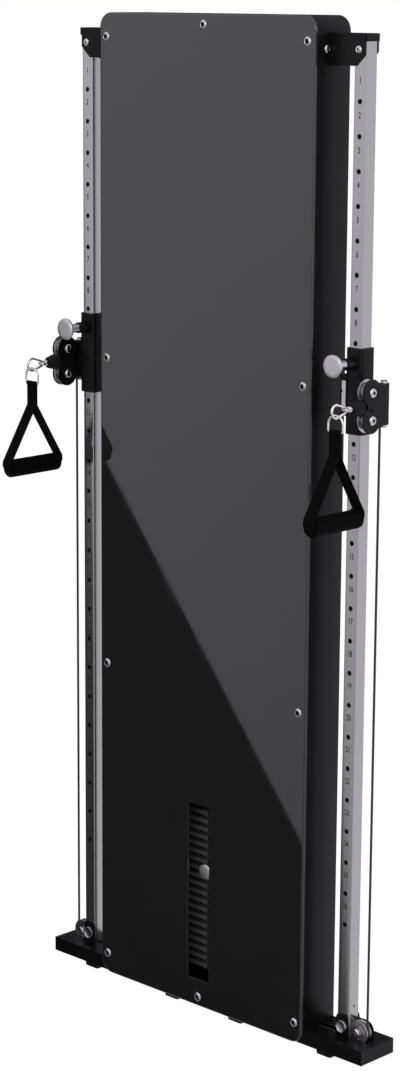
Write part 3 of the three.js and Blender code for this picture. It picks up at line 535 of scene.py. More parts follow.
def makeCamera():
    yaw, pitch, roll = (math.radians(studio[k]) for k in ("yaw", "pitch", "roll"))
    ahead = Vector((math.sin(yaw) * math.cos(pitch), math.cos(yaw) * math.cos(pitch), math.sin(pitch)))
    level = Vector((math.cos(yaw), -math.sin(yaw), 0))
    rise = level.cross(ahead)
    right = level * math.cos(roll) + rise * math.sin(roll)
    up = rise * math.cos(roll) - level * math.sin(roll)
    data = bpy.data.cameras.new("camera")
    data.sensor_fit = "VERTICAL"
    data.sensor_height = studio["sensor"]
    data.lens = studio["focalPixels"] * studio["sensor"] / studio["frameHeight"]
    data.clip_end = 200
    camera = inScene("camera", data)
    turn = Matrix((right, up, -ahead)).transposed().to_4x4()
    camera.matrix_world = Matrix.Translation(studio["camera"]) @ turn
    bpy.context.scene.camera = camera


def makeWorld():
    # white to the camera, a soft sky to the surfaces, and to reflections a studio with dark parts
    world = bpy.data.worlds.new("studio")
    bpy.context.scene.world = world
    world.use_nodes = True
    world.node_tree.nodes.clear()
    shading = Shading(world.node_tree)
    rays = {name: shading.add("ShaderNodeLightPath", output=name)
            for name in ("Is Camera Ray", "Is Glossy Ray", "Is Transmission Ray")}
    direction = shading.add("ShaderNodeTexCoord", output="Generated")
    x, y, z = (shading.part(direction, name) for name in "XYZ")
    low = shading.maths("MAXIMUM", z * -1, 0) * shading.maths("MAXIMUM", y * -1, 0)
    behind = shading.limited((y - x) * studio["behind"] - studio["behindFrom"], 0, studio["behindMost"])
    aside = shading.limited(x * -studio["aside"] - studio["asideFrom"], 0, studio["asideMost"])
    glow = shading.maths("MAXIMUM", studio["glow"] - low * studio["fall"], studio["leastGlow"])
    glow = glow * (1 - behind) * (1 - aside)
    above = shading.maths("MAXIMUM", z, 0) * studio["overhead"]
    shown = shading.add("ShaderNodeBackground", {}, {0: (1, 1, 1, 1), 1: 1.0})
    light = shading.add("ShaderNodeBackground", {}, {0: studio["skyTint"], 1: studio["sky"] - above})
    mirrored = shading.add("ShaderNodeBackground", {}, {0: studio["glowTint"], 1: glow})
    mixed = shading.add("ShaderNodeMixShader", {}, {0: rays["Is Glossy Ray"], 1: light, 2: mirrored})
    seen = shading.maths("MAXIMUM", rays["Is Camera Ray"], rays["Is Transmission Ray"])
    mixed = shading.add("ShaderNodeMixShader", {}, {0: seen, 1: mixed, 2: shown})
    shading.add("ShaderNodeOutputWorld", {}, {0: mixed})


def stagePlane(name, corners, finish):
    mesh = bpy.data.meshes.new(name)
    mesh.from_pydata([tuple(c) for c in corners], [], [tuple(range(len(corners)))])
    plane = inScene(name, mesh)
    mesh.materials.append(finish.material)
    return plane


def makeFloor():
    # a pale floor that the camera sees as white, with the object's shadow kept faintly on it
    finish = Finish("paleFloor", rough=0.9, colour=(0.7, 0.7, 0.705, 1))
    white = finish.add("ShaderNodeEmission", {}, {0: (1, 1, 1, 1), 1: studio["floorWhite"]})
    seen = finish.add("ShaderNodeLightPath", output="Is Camera Ray") * studio["floorShare"]
    surface = Signal(finish, finish.shader.outputs[0])
    mixed = finish.add("ShaderNodeMixShader", {}, {0: seen, 1: surface, 2: white})
    finish.feed(finish.tree.nodes["Material Output"], 0, mixed)
    reach = studio["floorReach"]
    corners = [(-reach, -reach, 0), (reach, -reach, 0), (reach, reach, 0), (-reach, reach, 0)]
    stagePlane("floor", corners, finish).visible_glossy = False


# upper and lower are two points of the line on the panel, x and z in metres
flag = {"plane": -2.0, "upper": (-0.285, 1.155), "lower": (0.291, 0.439), "face": zero["y"] * mm,
        "beforeUpper": 3.2, "pastLower": 3.0, "bottom": -6, "left": -9}


def makeFlag():
    # a black card that only reflections see: its edge draws the slanting line across the gloss panel
    eye = Vector(studio["camera"])
    mirrored = Vector((eye.x, 2 * flag["face"] - eye.y, eye.z))
    onCard = []
    for x, z in (flag["upper"], flag["lower"]):
        through = Vector((x, flag["face"], z)) - mirrored
        onCard.append(mirrored + through * ((flag["plane"] - mirrored.y) / through.y))
    along = (onCard[1] - onCard[0]).normalized()
    first = onCard[0] - along * flag["beforeUpper"]
    last = onCard[1] + along * flag["pastLower"]
    corners = [first, last] + [Vector((x, flag["plane"], z)) for x, z in (
        (last.x, flag["bottom"]), (flag["left"], flag["bottom"]), (flag["left"], first.z))]
    finish = Finish("blackCard", colour=(0, 0, 0, 1), rough=1.0, specular=0.0)
    card = stagePlane("blackCard", corners, finish)
    for key in ("visible_camera", "visible_diffuse", "visible_shadow", "visible_transmission",
                "visible_volume_scatter"):
        setattr(card, key, False)


def makeLamp(name):
    # a square soft box that faces its target
    look = lamps[name]
    data = bpy.data.lights.new(name, "AREA")
    data.shape = "SQUARE"
    data.size = look["size"]
    data.energy = look["power"]
    lamp = inScene(name, data)
    lamp.location = look["place"]
    lamp.rotation_mode = "QUATERNION"
    lamp.rotation_quaternion = (Vector(look["target"]) - Vector(look["place"])).to_track_quat("-Z", "Y")
    lamp.visible_glossy = look["mirrored"]


makeCamera()
makeWorld()
makeFloor()
makeFlag()
for name in lamps:
    makeLamp(name)
print("camera, lights and floor ready")

panel = {"corner": 30, "thickness": 5.7, "round": 5.0, "slot": (-30.5, 30.5, 59, 443), "slotCorner": 3,
         "slotRound": 0.4, "support": 0.3}
shell = {"front": 6.3, "back": 100, "foot": 32.3, "frontLip": 24, "rearLip": 20, "sheet": 2, "ease": 1.2,
         "leastCorner": 0.5}


def roundedOutline(x0, x1, z0, z1, upper, lower, steps):
    # corner radii may differ above and below; anticlockwise seen from the front
    points = []
    corners = ((x1 - lower, z0 + lower, lower, -90), (x1 - upper, z1 - upper, upper, 0),
               (x0 + upper, z1 - upper, upper, 90), (x0 + lower, z0 + lower, lower, 180))
    for cx, cz, radius, start in corners:
        for k in range(steps + 1):
            turn = math.radians(start + 90 * k / steps)
            points.append((cx + radius * math.cos(turn), cz + radius * math.sin(turn)))
    return points


def panelPiece():
    # one sheet with a quarter-round front edge and a small round on the slot
    half, height, corner = layout["panelHalf"], layout["panelTop"], panel["corner"]
    x0, x1, z0, z1 = panel["slot"]

    def outer(inset, y):
        radius = corner - inset
        outline = roundedOutline(-half + inset, half - inset, inset, height - inset, radius, radius, 14)
        return [spot(x, y, z) for x, z in outline]

    def inner(grow, y):
        radius = panel["slotCorner"] + grow
        outline = roundedOutline(x0 - grow, x1 + grow, z0 - grow, z1 + grow, radius, radius, 6)
        return [spot(x, y, z) for x, z in outline]

    def quarter(ring, radius, steps):
        turns = [math.pi / 2 * k / steps for k in range(steps + 1)]
        return [ring(radius * (1 - math.sin(t)), radius * (1 - math.cos(t))) for t in turns]

    def border(ring, radius, steps):
        # from the flat of the face over the round to the back
        return ([ring(radius + panel["support"], 0)] + quarter(ring, radius, steps)
                + [ring(0, panel["thickness"])])

    work = bmesh.new()
    loops = []
    for rings in (border(outer, panel["round"], 6), border(inner, panel["slotRound"], 3)):
        made = [[work.verts.new(p) for p in ring] for ring in rings]
        count = len(made[0])
        for a, b in zip(made[:-1], made[1:]):
            for i in range(count):
                j = (i + 1) % count
                work.faces.new((a[i], a[j], b[j], b[i]))
        loops.append((made[0], made[-1]))
    for end in (0, 1):
        edges = []
        for pair in loops:
            ring = pair[end]
            edges += [work.edges.get(couple) for couple in zip(ring, ring[1:] + ring[:1])]
        bmesh.ops.triangle_fill(work, use_beauty=True, use_dissolve=False, edges=edges)
    mesh = bpy.data.meshes.new("front_panel_gloss")
    work.to_mesh(mesh)
    work.free()
    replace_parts(dress("front_panel_gloss", mesh, "gloss_panel", "frame", angle=50), "front_panel")


def shellPiece():
    # bent sheet, open below, with a lip towards the panel and one towards the back
    half, top = pick(layout, "panelHalf panelTop")
    corner, least = panel["corner"], shell["leastCorner"]

    def ring(inset, y):
        outline = roundedOutline(-half + inset, half - inset, shell["foot"] + inset, top - inset,
                                 max(corner - inset, least), least, 12)
        return [spot(x, y, z) for x, z in outline]

    front, back, ease, skin = pick(shell, "front back ease sheet")
    rings = [ring(shell["frontLip"], front), ring(ease, front), ring(ease * 0.3, front + ease * 0.3),
             ring(0, front + ease), ring(0, back - ease), ring(ease * 0.3, back - ease * 0.3),
             ring(ease, back), ring(shell["rearLip"], back), ring(shell["rearLip"], back - skin),
             ring(skin, back - skin), ring(skin, front + skin), ring(shell["frontLip"], front + skin)]
    piece = makePiece("housing_skin", ringMesh(rings, True), "black_paint", "frame", housingShadedPaint, 30)
    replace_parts(piece, "housing_shell")


panelPiece()
shellPiece()
cleanCopy("back_panel", "black_paint", "frame", 0.5)
cleanCopy("base_beam", "black_paint", "frame", 0.9, finish=beamShadedPaint)
cleanCopy("top_crossmember", "black_paint", "frame", 0.6)
cleanCopy("resting_plates", "plate_iron", "frame")
cleanCopy("lifted_plates", "plate_iron", "lifted_stack")
cleanCopy("selector_stem", "rod_steel", "lifted_stack")
for label in sides:
    for place in ("outer", "inner"):
        cleanCopy(f"foot_{place}_{label}", "rubber", "frame", 1.0)
    cleanCopy(f"top_bracket_{label}", "black_paint", "frame", 0.7)
    cleanCopy(f"guide_rod_{label}", "rod_steel", "frame")
    cleanCopy(f"stack_bumper_{label}", "rubber", "frame")
    cleanCopy(f"carriage_{label}", "black_paint", f"slider_{label}", 1.2, segments=3)
    cleanCopy(f"swivel_bracket_{label}", "black_paint", f"swivel_{label}", 0.5)
    cleanCopy(f"post_{label}", "silver_post", "frame")
print("housing ready")

# capitals is a digit's height as a share of the letter size
numbers = {"count": 26, "hole": 4.5, "edge": 0.8, "height": 12.0, "capitals": 0.72, "narrow": 0.72,
           "above": 38.8, "raised": 0.16, "bold": 0.34}


def numbersPiece(label, side):
    # the hole numbers, printed on the post's front a little above each hole
    shapes = []
    for k in range(numbers["count"]):
        data = bpy.data.curves.new("digits", "FONT")
        data.body = str(k + 1)
        data.align_x = data.align_y = "CENTER"
        data.size = numbers["height"] / numbers["capitals"] * mm
        data.resolution_u = 3
        data.extrude = numbers["raised"] / 2 * mm
        data.offset = numbers["bold"] * mm
        shape = inScene("digits", data)
        shape.rotation_euler = (math.pi / 2, 0, 0)
        shape.scale = (numbers["narrow"], 1, 1)
        shape.location = spot(side * layout["postX"], layout["postFront"],
                              layout["firstHole"] - k * layout["holeStep"] + numbers["above"])
        shapes.append(shape)
    bpy.context.view_layer.update()
    graph = bpy.context.evaluated_depsgraph_get()
    digits = []
    for shape in shapes:
        mesh = bpy.data.meshes.new_from_object(shape.evaluated_get(graph))
        mesh.transform(shape.matrix_world)
        digits.append(([v.co.copy() for v in mesh.vertices], [tuple(p.vertices) for p in mesh.polygons]))
        bpy.data.objects.remove(shape)
        bpy.data.meshes.remove(mesh)
    piece = makePiece(f"hole_numbers_{label}", merged(digits), "black_paint", "frame", ink, 20)
    work = bmesh.new()
    work.from_mesh(piece.data)
    bmesh.ops.remove_doubles(work, verts=work.verts, dist=1e-6)
    work.to_mesh(piece.data)
    work.free()


def holeEdgesPiece(label, side):
    # a dark ring at the mouth of every hole in the post's front: painted shade
    inner, outer = numbers["hole"] - 0.1, numbers["hole"] + numbers["edge"]
    profile = [(inner, -0.05), (outer, -0.05), (outer, 0.3), (inner, 0.9)]
    edges = []
    for k in range(numbers["count"]):
        height = layout["firstHole"] - k * layout["holeStep"]
        centre = spot(side * layout["postX"], layout["postFront"], height)
        edges.append(turnedShape(centre, "y", profile, 32, True))
    makePiece(f"hole_edges_{label}", merged(edges), "black_paint", "frame", blackFinishAndShade, 30)


for label, side in sides.items():
    numbersPiece(label, side)
    holeEdgesPiece(label, side)
print("hole numbers ready")

sheave = {"rim": 24.9, "half": 6.5, "land": 1.4, "floor": 15.8, "bore": 5.4, "hub": 9.5, "web": 2.2,
          "wire": 1.9}
# x and z of the wheels in the housing and on the beam, and the height of the one on the stack
wheels = {
    "base_pulley_outer": (layout["basePulleyX"], layout["basePulleyZ"]),
    "base_pulley_inner": (260.5, layout["basePulleyZ"]),
    "top_pulley_outer": (223.5, 1975),
    "top_pulley_inner": (37, 1975),
}
floatingZ = 466.0


def pulleyPiece(name, centre, axis, body):
    rim, half, land, floor, bore, hub, web, wire = pick(sheave, "rim half land floor bore hub web wire")
    side = [(bore, half), (hub, half), (hub + 0.8, half - web), (floor - 2.2, half - web),
            (floor - 1.4, half), (rim - 0.5, half), (rim, half - 0.5), (rim, half - land)]
    groove = []
    for k in range(9):
        turn = math.radians(-90 + 180 * k / 8)
        groove.append((floor + wire - wire * math.cos(turn), wire * math.sin(turn)))
    profile = [(r, -h) for r, h in side] + groove + side[::-1]
    standIn(name, "turned", turnedShape(centre, axis, profile, 72, True), "pulley", body, angle=40)


for label, side in sides.items():
    for name, (x, z) in wheels.items():
        pulleyPiece(f"{name}_{label}", spot(side * x, layout["postY"], z), "y", f"{name}_{label}")
    for name, rise in (("pulley_upper", layout["pulleyRise"]), ("pulley_lower", -layout["pulleyRise"])):
        pulleyPiece(f"{name}_{label}", onBracket(side, layout["pulleyY"], rise), "x", f"{name}_{label}")
pulleyPiece("floating_pulley", spot(0, layout["postY"], floatingZ), "y", "floating_pulley")

# front, rear, shoulder and tip are places along y from the post's axis
popPin = {"knob": 22.5, "neck": 9, "shank": 4.2, "front": -83.9, "rear": -74.9, "shoulder": -45.9,
          "tip": -15.3}


def popPinPiece(label, side):
    # pull knob with a rounded rim, thick neck and shank
    knob, neck, shank, front, rear, shoulder, tip = pick(popPin, "knob neck shank front rear shoulder tip")
    profile = [(0, front + 0.25), (14, front), (19, front + 0.15), (21, front + 0.7), (22.1, front + 1.9),
               (knob, front + 3.6), (knob, rear - 3.4), (22.0, rear - 1.8), (20.4, rear - 0.5),
               (18.5, rear), (neck + 1.6, rear + 0.1), (neck + 0.4, rear + 0.8), (neck, rear + 2.2),
               (neck, shoulder - 1.2), (neck - 0.6, shoulder - 0.3), (neck - 1.2, shoulder),
               (shank, shoulder), (shank, tip), (0, tip)]
    centre = spot(side * layout["postX"], layout["postY"], layout["carriageZ"])
    shape, pin = turnedShape(centre, "y", profile, 80), f"pop_pin_{label}"
    standIn(pin, "turned", shape, "bright_steel", pin, knobFinish, 30)


# the pin goes through the lowest lifted plate, above the resting ones and a small gap
selector = {"stackFoot": 71, "resting": 12, "plate": 17.67, "gap": 0.3}


def selectorPiece():
    # flat knob, collar and shank; distances along y from the panel's face
    profile = [(0, 18.2), (12.5, 18.0), (15.4, 18.5), (16.6, 19.8), (17, 21.6), (17, 25.2), (16.2, 26.6),
               (14.5, 27), (8, 27), (8, 31.7), (4.5, 31.7), (4.5, 68.5), (0, 68.5)]
    plateFoot = selector["stackFoot"] + selector["resting"] * selector["plate"] + selector["gap"]
    shape = turnedShape(spot(0, 0, plateFoot + selector["plate"] / 2), "y", profile)
    standIn("selector_pin", "turned", shape, "bright_steel", "selector_pin", knobFinish, 30)


def stopperPiece(label, side):
    # rubber bell that the cable draws up against the bracket
    profile = [(2.7, -52.6), (5.4, -52.6), (6.4, -53.2), (15.6, -60.2), (16.4, -61.2), (16.5, -62.4),
               (16.4, -64.2), (15.9, -66.4), (12.0, -81.2), (11.5, -82.4), (10.6, -82.9), (2.7, -82.9)]
    shape = turnedShape(onBracket(side, 0, 0), "y", profile, 72, True)
    standIn(f"stopper_{label}", "turned", shape, "rubber", f"swivel_{label}")


selectorPiece()
for label, side in sides.items():
    popPinPiece(label, side)
    stopperPiece(label, side)
print("turned pieces ready")

# rear and front are the hook's two bends: place along y and radius
hook = {"rear": (-105, 6), "front": (-127, 12.5), "wire": 2.5, "gateWire": 2.1, "heelGap": 0.9,
        "noseGap": 1.2}
# pull is a place along y, and heights count from the bracket's cable line
handle = {"pull": -128, "ringTop": -7.2, "ringHalf": 18.3, "ringRound": 16.5, "ringBend": 4, "ringWire": 2.1,
          "ringBar": -38.9, "width": 28, "cloth": 2.6, "neck": -83, "grip": -212.8, "gripHalf": 67,
          "gripRadius": 18.5, "bore": 14.8, "overhang": 2.6, "shoulder": 14.5}


def hookPieces(label, side):
    # pear-shaped wire and its sprung gate
    rear, front = pick(hook, "rear front")
    lean = math.degrees(math.asin((front[1] - rear[1]) / (rear[0] - front[0])))
    top = 90 - lean
    line = arc(onBracket(side, front[0], 0), front[1], top, 360 - top, 40)
    line += arc(onBracket(side, rear[0], 0), rear[1], -top, top, 24)
    sweep(f"snap_hook_{label}", "wire", line, hook["wire"], "bright_steel", f"hook_{label}", 20)
    outward = Vector((0, math.cos(math.radians(top)), math.sin(math.radians(top))))
    heel = onBracket(side, rear[0], 0) + outward * (rear[1] * mm)
    nose = onBracket(side, front[0], 0) + outward * (front[1] * mm)
    along = (nose - heel).normalized() * mm
    line = [heel + along * hook["heelGap"], nose - along * hook["noseGap"]]
    sweep(f"gate_{label}", "wire", line, hook["gateWire"], "bright_steel", f"gate_{label}", 20)


def ringPiece(label, side):
    # D-ring: round above, a straight bar below
    pull, half, low = pick(handle, "pull ringHalf ringBar")
    top, shoulder, bend = pick(handle, "ringTop ringRound ringBend")
    line = []
    for k in range(37):
        turn = math.pi * k / 36
        rise = top - shoulder + shoulder * math.sin(turn)
        line.append(onBracket(side, pull, rise, half * math.cos(turn)))
    line += arc(onBracket(side, pull, low + bend, bend - half), bend, 180, 270, 8, "xz")
    line += arc(onBracket(side, pull, low + bend, half - bend), bend, 270, 360, 8, "xz")
    sweep(f"d_ring_{label}", "wire", line, handle["ringWire"], "bright_steel", f"handle_{label}", 20, True)


def arcLine(cy, cz, radius, start, end, steps):
    # an arc as plain pairs, in degrees from y towards z
    turns = [math.radians(start + (end - start) * k / steps) for k in range(steps + 1)]
    return [(cy + radius * math.cos(t), cz + radius * math.sin(t)) for t in turns]


def bandShape(line, width, thickness, side):
    # a flat closed band that follows a line in the handle's plane, and its strand values
    half, t = width / 2, thickness / 2
    r = min(t * 0.95, 1.1)
    face = [(-half + r + (2 * half - 2 * r) * k / 12, t) for k in range(13)]
    turns = [math.pi / 2 - math.pi * k / 6 for k in range(1, 6)]
    edge = [(half - r + r * math.cos(turn), t * math.sin(turn)) for turn in turns]
    section = face + edge
    section += [(-a, -b) for a, b in section]
    rings, strand = [], []
    travel = 0.0
    for k, (y, z) in enumerate(line):
        before, after = line[k - 1], line[(k + 1) % len(line)]
        dy, dz = after[0] - before[0], after[1] - before[1]
        size = math.hypot(dy, dz)
        ny, nz = -dz / size, dy / size
        if k:
            travel += math.hypot(y - before[0], z - before[1])
        rings.append([onBracket(side, handle["pull"] + y + ny * b, z + nz * b, a) for a, b in section])
        strand += [(a * mm, travel * mm, 0) for a, b in section]
    return ringMesh(rings, True), strand


def strapLine():
    # half of the webbing's way: round the ring's bar, down the neck, out to the grip's end and through it
    cloth, low, neck, bar = pick(handle, "cloth grip neck ringBar")
    mid = handle["ringWire"] + 0.2 + cloth / 2
    gap = cloth / 2 + 0.02
    lap = math.asin(gap / mid)
    outer = handle["gripHalf"] + 0.3 + handle["overhang"] + cloth / 2
    shoulder = low + handle["shoulder"]
    start = bar - mid * math.cos(lap) - 2
    leg = arcLine(0, bar, mid, 90, math.degrees(lap) - 90, 18)
    leg += [(gap, start + (neck + 2 - start) * k / 6) for k in range(7)]
    leg.append((gap + 0.15, neck - 1.5))
    leg += [(gap + (outer - gap) * k / 12, neck - 1.5 + (shoulder - neck + 1.5) * k / 12)
            for k in range(1, 12)]
    leg += [(outer - 0.3, shoulder + 0.9), (outer + 0.5, shoulder - 2.4), (outer + 0.6, shoulder - 6)]
    leg += arcLine(outer - 5.4, low + 6, 6, 0, -90, 8)
    leg.append((0, low))
    return leg


stitch = {"thread": 0.38, "proud": 0.12, "long": 2.6, "wide": 2.3, "rows": 9, "rowX": 10.5, "across": 6,
          "acrossFrom": -9.4, "acrossStep": 3.3, "top": 11, "bottom": 5}


def strapPieces(label, side):
    # the webbing, and the seams that close its neck
    leg = strapLine()
    line = leg + [(-y, z) for y, z in leg[::-1]][1:-1]
    shape, strand = bandShape(line, handle["width"], handle["cloth"], side)
    standIn(f"strap_{label}", "webbing", shape, "webbing", f"handle_{label}", None, 50, strand)
    stitches = []

    def thread(y, z, x, down, over):
        y += handle["pull"]
        ends = [onBracket(side, y, z, x), onBracket(side, y, z - down, x + over)]
        stitches.append(sweepShape(ends, stitch["thread"], 8)[0])

    face = handle["cloth"] + stitch["proud"]
    top, bottom = handle["ringBar"] - stitch["top"], handle["neck"] + stitch["bottom"]
    for y in (-face, face):
        for x in (-stitch["rowX"], stitch["rowX"]):
            for k in range(stitch["rows"]):
                thread(y, top + (bottom - top) * k / stitch["rows"], x, stitch["long"], 0)
        for z in (top, (top + bottom) / 2, bottom):
            for k in range(stitch["across"]):
                thread(y, z, stitch["acrossFrom"] + stitch["acrossStep"] * k, 0, stitch["wide"])
    makePiece(f"strap_stitches_{label}", merged(stitches), "webbing", f"handle_{label}", blackFinishAndShade, 50)


def gripPieces(label, side):
    # foam tube with rounded ends, and the plugs in its bore
    centre = onBracket(side, handle["pull"], handle["grip"])
    half, outer, bore = pick(handle, "gripHalf gripRadius bore")
    end = [(bore, half - 0.3), (bore + 1.0, half), (outer - 2.6, half), (outer - 1.1, half - 0.5),
           (outer - 0.3, half - 1.7), (outer, half - 3.6)]
    body = [(outer, -(half - 3.6) * (1 - 2 * k / 24)) for k in range(1, 24)]
    profile = [(r, -h) for r, h in end] + body + end[::-1]
    shape = turnedShape(centre, "y", profile, 80, True)
    standIn(f"grip_{label}", "foam", shape, "foam", f"grip_{label}")
    plugs = []
    for way in (-1, 1):
        plug = [(0, way * (half - 6)), (bore - 0.4, way * (half - 6)), (bore - 0.4, way * (half - 1.2)),
                (bore - 1.0, way * (half - 0.7)), (0, way * (half - 0.5))]
        plugs.append(turnedShape(centre, "y", plug, 48))
    makePiece(f"grip_plugs_{label}", merged(plugs), "foam", f"handle_{label}")


for label, side in sides.items():
    hookPieces(label, side)
    ringPiece(label, side)
    strapPieces(label, side)
    gripPieces(label, side)
print("hooks and handles ready")


def tangentAngle(y, z, turn):
    # where a cable from this point meets the bracket's lower pulley
    dy, dz = y - layout["pulleyY"], z + layout["pulleyRise"]
    return math.degrees(math.atan2(dz, dy) + turn * math.acos(layout["pitch"] / math.hypot(dy, dz)))


# foot and start are heights below the cable line, leave, end and eye places along y
bracketCable = {
    "foot": -39.6, "start": -36, "leave": -52.5, "end": -84.5, "eye": -99,
    "sleeve": [(0, -83.2), (5.4, -83.2), (6.1, -83.8), (6.3, -84.6), (6.3, -91.0), (5.9, -92.6), (4.8, -93.6),
               (0, -94.0)],
    "ring": [(4.2, -2.0), (4.8, -2.5), (7.2, -2.5), (7.9, -1.9), (8.1, -0.8), (8.1, 0.8), (7.9, 1.9),
             (7.2, 2.5), (4.8, 2.5), (4.2, 2.0)],
}


def bracketCablePieces(label, side):
    # the cable from the bracket's foot over its lower pulley to the ferrule, with the eye on its end
    foot, start, leave, end = pick(bracketCable, "foot start leave end")
    first, last = tangentAngle(0, start, 1), tangentAngle(leave, 0, -1)
    line = between(onBracket(side, 0, foot), onBracket(side, 0, start), 2)
    line += arc(onBracket(side, layout["pulleyY"], -layout["pulleyRise"]), layout["pitch"], first, last, 10)
    line += between(onBracket(side, leave, 0), onBracket(side, end, 0), 6)
    sweep(f"bracket_cable_{label}", "rope", line, layout["cable"], "cable", f"swivel_{label}", 14)
    sleeve = turnedShape(onBracket(side, 0, 0), "y", bracketCable["sleeve"], 40)
    eye = turnedShape(onBracket(side, bracketCable["eye"], 0), "z", bracketCable["ring"], 48, True)
    makePiece(f"cable_eye_{label}", merged([sleeve, eye]), "bright_steel", f"swivel_{label}", screwFinish, 40)


# a longer tail would reach the base pulley when the carriage is at its lowest
postCable = {"foot": 49.7, "top": 1285.9, "tail": 208, "thinner": 0.06}


def postCablePieces(label, side):
    # the cable from the base pulley to the bracket, and a tail inside it that a raised carriage draws out
    x, y = side * layout["cableX"], layout["postY"]
    foot, top, thin = pick(postCable, "foot top thinner")
    line = between(spot(x, y, foot), spot(x, y, top), 60)
    sweep(f"post_cable_{label}", "rope", line, layout["cable"], "cable", "frame", 14)
    line = between(spot(x, y, top - postCable["tail"]), spot(x, y, top - thin), 12)
    shape, strand = sweepShape(line, layout["cable"] - thin, 14)
    makePiece(f"post_cable_{label}_tail", shape, "cable", f"slider_{label}", None, 50, strand)


for label, side in sides.items():
    postCablePieces(label, side)
    bracketCablePieces(label, side)
    cleanCopy(f"run_cable_{label}", "cable", "frame", angle=60)
cleanCopy("lift_cable", "cable", "frame", angle=60)
print("cables ready")

# button heads: radius and height, and the socket's half width across flats and depth
screws = {
    "panel": {"head": 9.4, "height": 3.2, "socket": 4.7, "depth": 2.6},
    "bracket": {"head": 8.0, "height": 4.4, "socket": 2.6, "depth": 2.2},
    "pulley": {"head": 9.6, "height": 5.2, "socket": 3.3, "depth": 2.6},
    "small": {"head": 4.6, "height": 2.4, "socket": 1.6, "depth": 1.2},
}


def ringAt(centre, out, radius, lift, count=36, corners=0):
    # a ring of points about the axis out: round, or with flats when corners is given
    side = out.orthogonal().normalized()
    up = out.cross(side)
    ring = []
    for i in range(count):
        turn = fullTurn * i / count
        wedge = fullTurn / corners if corners else 0
        reach = radius / math.cos(turn % wedge - wedge / 2) if corners else radius
        ring.append(centre + (side * math.cos(turn) + up * math.sin(turn)) * (reach * mm) + out * (lift * mm))
    return ring


def screwPieces(name, seats, size, body, finish=screwFinish):
    # button heads, and dark linings in their sockets that are painted shade; a seat is the head's middle and
    # the way it faces
    head, height, socket, depth = pick(screws[size], "head height socket depth")
    dome = [(1.0, 0), (1.0, 0.2), (0.98, 0.38), (0.92, 0.6), (0.82, 0.8), (0.7, 0.94), (0.6, 1.0)]
    well = [(socket + 0.35, height), (socket, height - 0.35), (socket, height - depth)]
    # a thin dark lining inside each socket: painted shade
    socketShade = [(socket - 0.05, height - depth - 0.2), (socket - 0.05, height - 0.5),
              (socket - 0.35, height - 0.5), (socket - 0.35, height - depth + 0.2)]
    heads, sockets = [], []
    for centre, out in seats:
        out = Vector(out)
        rings = [ringAt(centre, out, head * r, height * h) for r, h in dome]
        heads.append(ringMesh(rings + [ringAt(centre, out, r, h, corners=6) for r, h in well]))
        sockets.append(ringMesh([ringAt(centre, out, r, h, corners=6) for r, h in socketShade]))
    makePiece(name, merged(heads), "bright_steel", body, finish, 28)
    makePiece(name + "_sockets", merged(sockets), "black_paint", body, blackFinishAndShade, 28)


def hexPiece(name, seats, body):
    # hexagon heads with a rounded crown, about the y axis
    # radius, height and number of corners
    rings = ((8.3, 0, 6), (8.3, 5.2, 6), (8.4, 6.0, 0), (7.6, 6.5, 0), (5.0, 6.7, 0))
    heads = [ringMesh([ringAt(centre, Vector((0, -1, 0)), r, h, corners=n) for r, h, n in rings])
             for centre in seats]
    makePiece(name, merged(heads), "bright_steel", body, angle=28)


def discPiece(name, seats, body):
    # domed cover discs on the lugs
    profile = [(0, -3.0), (9.4, -3.0), (10.2, -3.3), (11.0, -4.3), (12.0, -4.6), (12.9, -4.2), (13.4, -3.2),
               (13.5, -1.0), (13.5, 0.2), (0, 0.2)]
    discs = [turnedShape(centre, "y", profile, 56) for centre in seats]
    makePiece(name, merged(discs), "pulley", body, angle=30)


seatAt = {"panelX": 272.5, "panelZ": (2001.7, 1349, 697, 45), "middleZ": (2029.2, 21.5), "bracketX": 368.5,
          "flangeX": 296.3, "flangeY": 28, "hexY": 47.6, "plateZ": -7.2}
bush = [(0, 39.6), (6.7, 39.6), (6.7, 43.6), (6.2, 44.8), (5.2, 45.3), (0, 45.4)]

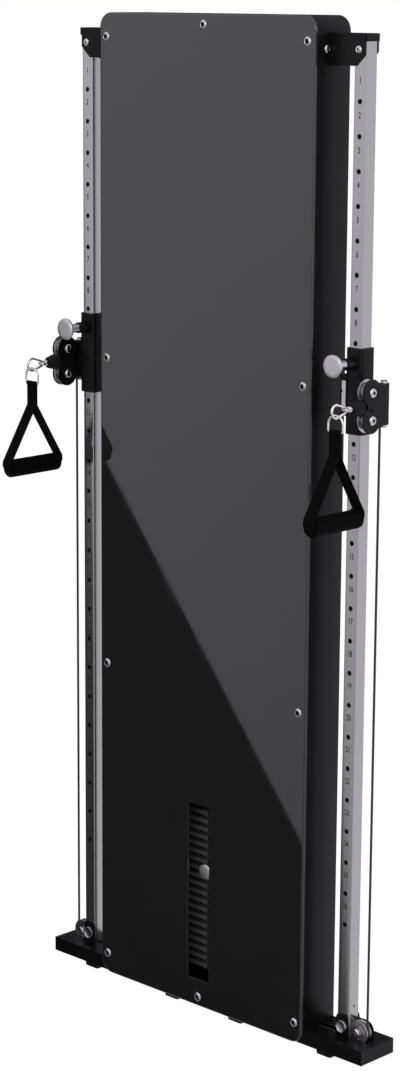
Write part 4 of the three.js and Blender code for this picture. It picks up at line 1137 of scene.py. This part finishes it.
ahead = (0, -1, 0)
seats = [(spot(side * seatAt["panelX"], 0, z), ahead) for side in (-1, 1) for z in seatAt["panelZ"]]
seats += [(spot(0, 0, z), ahead) for z in seatAt["middleZ"]]
screwPieces("panel_screws", seats, "panel", "frame")
seats = []
for side in sides.values():
    seats.append((spot(side * seatAt["bracketX"], layout["lugFront"], layout["bracketBolt"]), ahead))
    seats.append((spot(side * seatAt["flangeX"], seatAt["flangeY"], layout["bracketBolt"]), (side, 0, 0)))
screwPieces("top_bracket_bolts", seats, "bracket", "frame")
seats = [spot(side * layout["basePulleyX"], seatAt["hexY"], layout["basePulleyZ"]) for side in sides.values()]
hexPiece("base_pulley_bolts", seats, "frame")
seats = [spot(side * layout["postX"], layout["lugFront"], layout["lugBolt"]) for side in sides.values()]
discPiece("lug_discs", seats, "frame")
for label, side in sides.items():
    seats = [(onBracket(side, layout["pulleyY"], rise, way * layout["plateHalf"]), (way, 0, 0))
             for rise in (-layout["pulleyRise"], layout["pulleyRise"]) for way in (-1, 1)]
    screwPieces(f"pulley_bolts_{label}", seats, "pulley", f"swivel_{label}")
    seats = [(onBracket(side, layout["pulleyY"], seatAt["plateZ"], layout["plateHalf"]), (1, 0, 0))]
    screwPieces(f"plate_screw_{label}", seats, "small", f"swivel_{label}", blackFinishAndShade)
    centre = onBracket(side, layout["hingeBack"], 0)
    bushes = [turnedShape(centre, "z", [(r, way * h) for r, h in bush], 40) for way in (-1, 1)]
    makePiece(f"hinge_bushes_{label}", merged(bushes), "bright_steel", f"swivel_{label}", screwFinish, 30)
print("fasteners ready")

clampBlock = {"x": (332.5, 349.4), "y": (40.2, 62), "z": (1296, 1376)}
clampStrip = {"x": (338.9, 349.0), "y": (37.6, 40.4), "z": (1305, 1365), "notch": 1345}


def clampPieces():
    # counter block on the right carriage's inner side, with a bright notched wear strip on its front
    (x0, x1), (z0, z1) = clampBlock["x"], clampBlock["z"]
    shape = extruded([(x0, z0), (x1, z0), (x1, z1), (x0, z1)], *clampBlock["y"])
    eased(makePiece("clamp_block_right", shape, "black_paint", "slider_right"), 1.5, 3)
    (x0, x1), (z0, z1), middle = clampStrip["x"], clampStrip["z"], clampStrip["notch"]
    notch = [(x0, middle + 3), (x0 + 2, middle + 1.5), (x0 + 2, middle - 1.5), (x0, middle - 3)]
    shape = extruded([(x0, z0), (x1, z0), (x1, z1), (x0, z1)] + notch, *clampStrip["y"])
    eased(makePiece("clamp_strip_right", shape, "bright_steel", "slider_right", screwFinish), 0.5)


clampPieces()
print("carriage details ready")
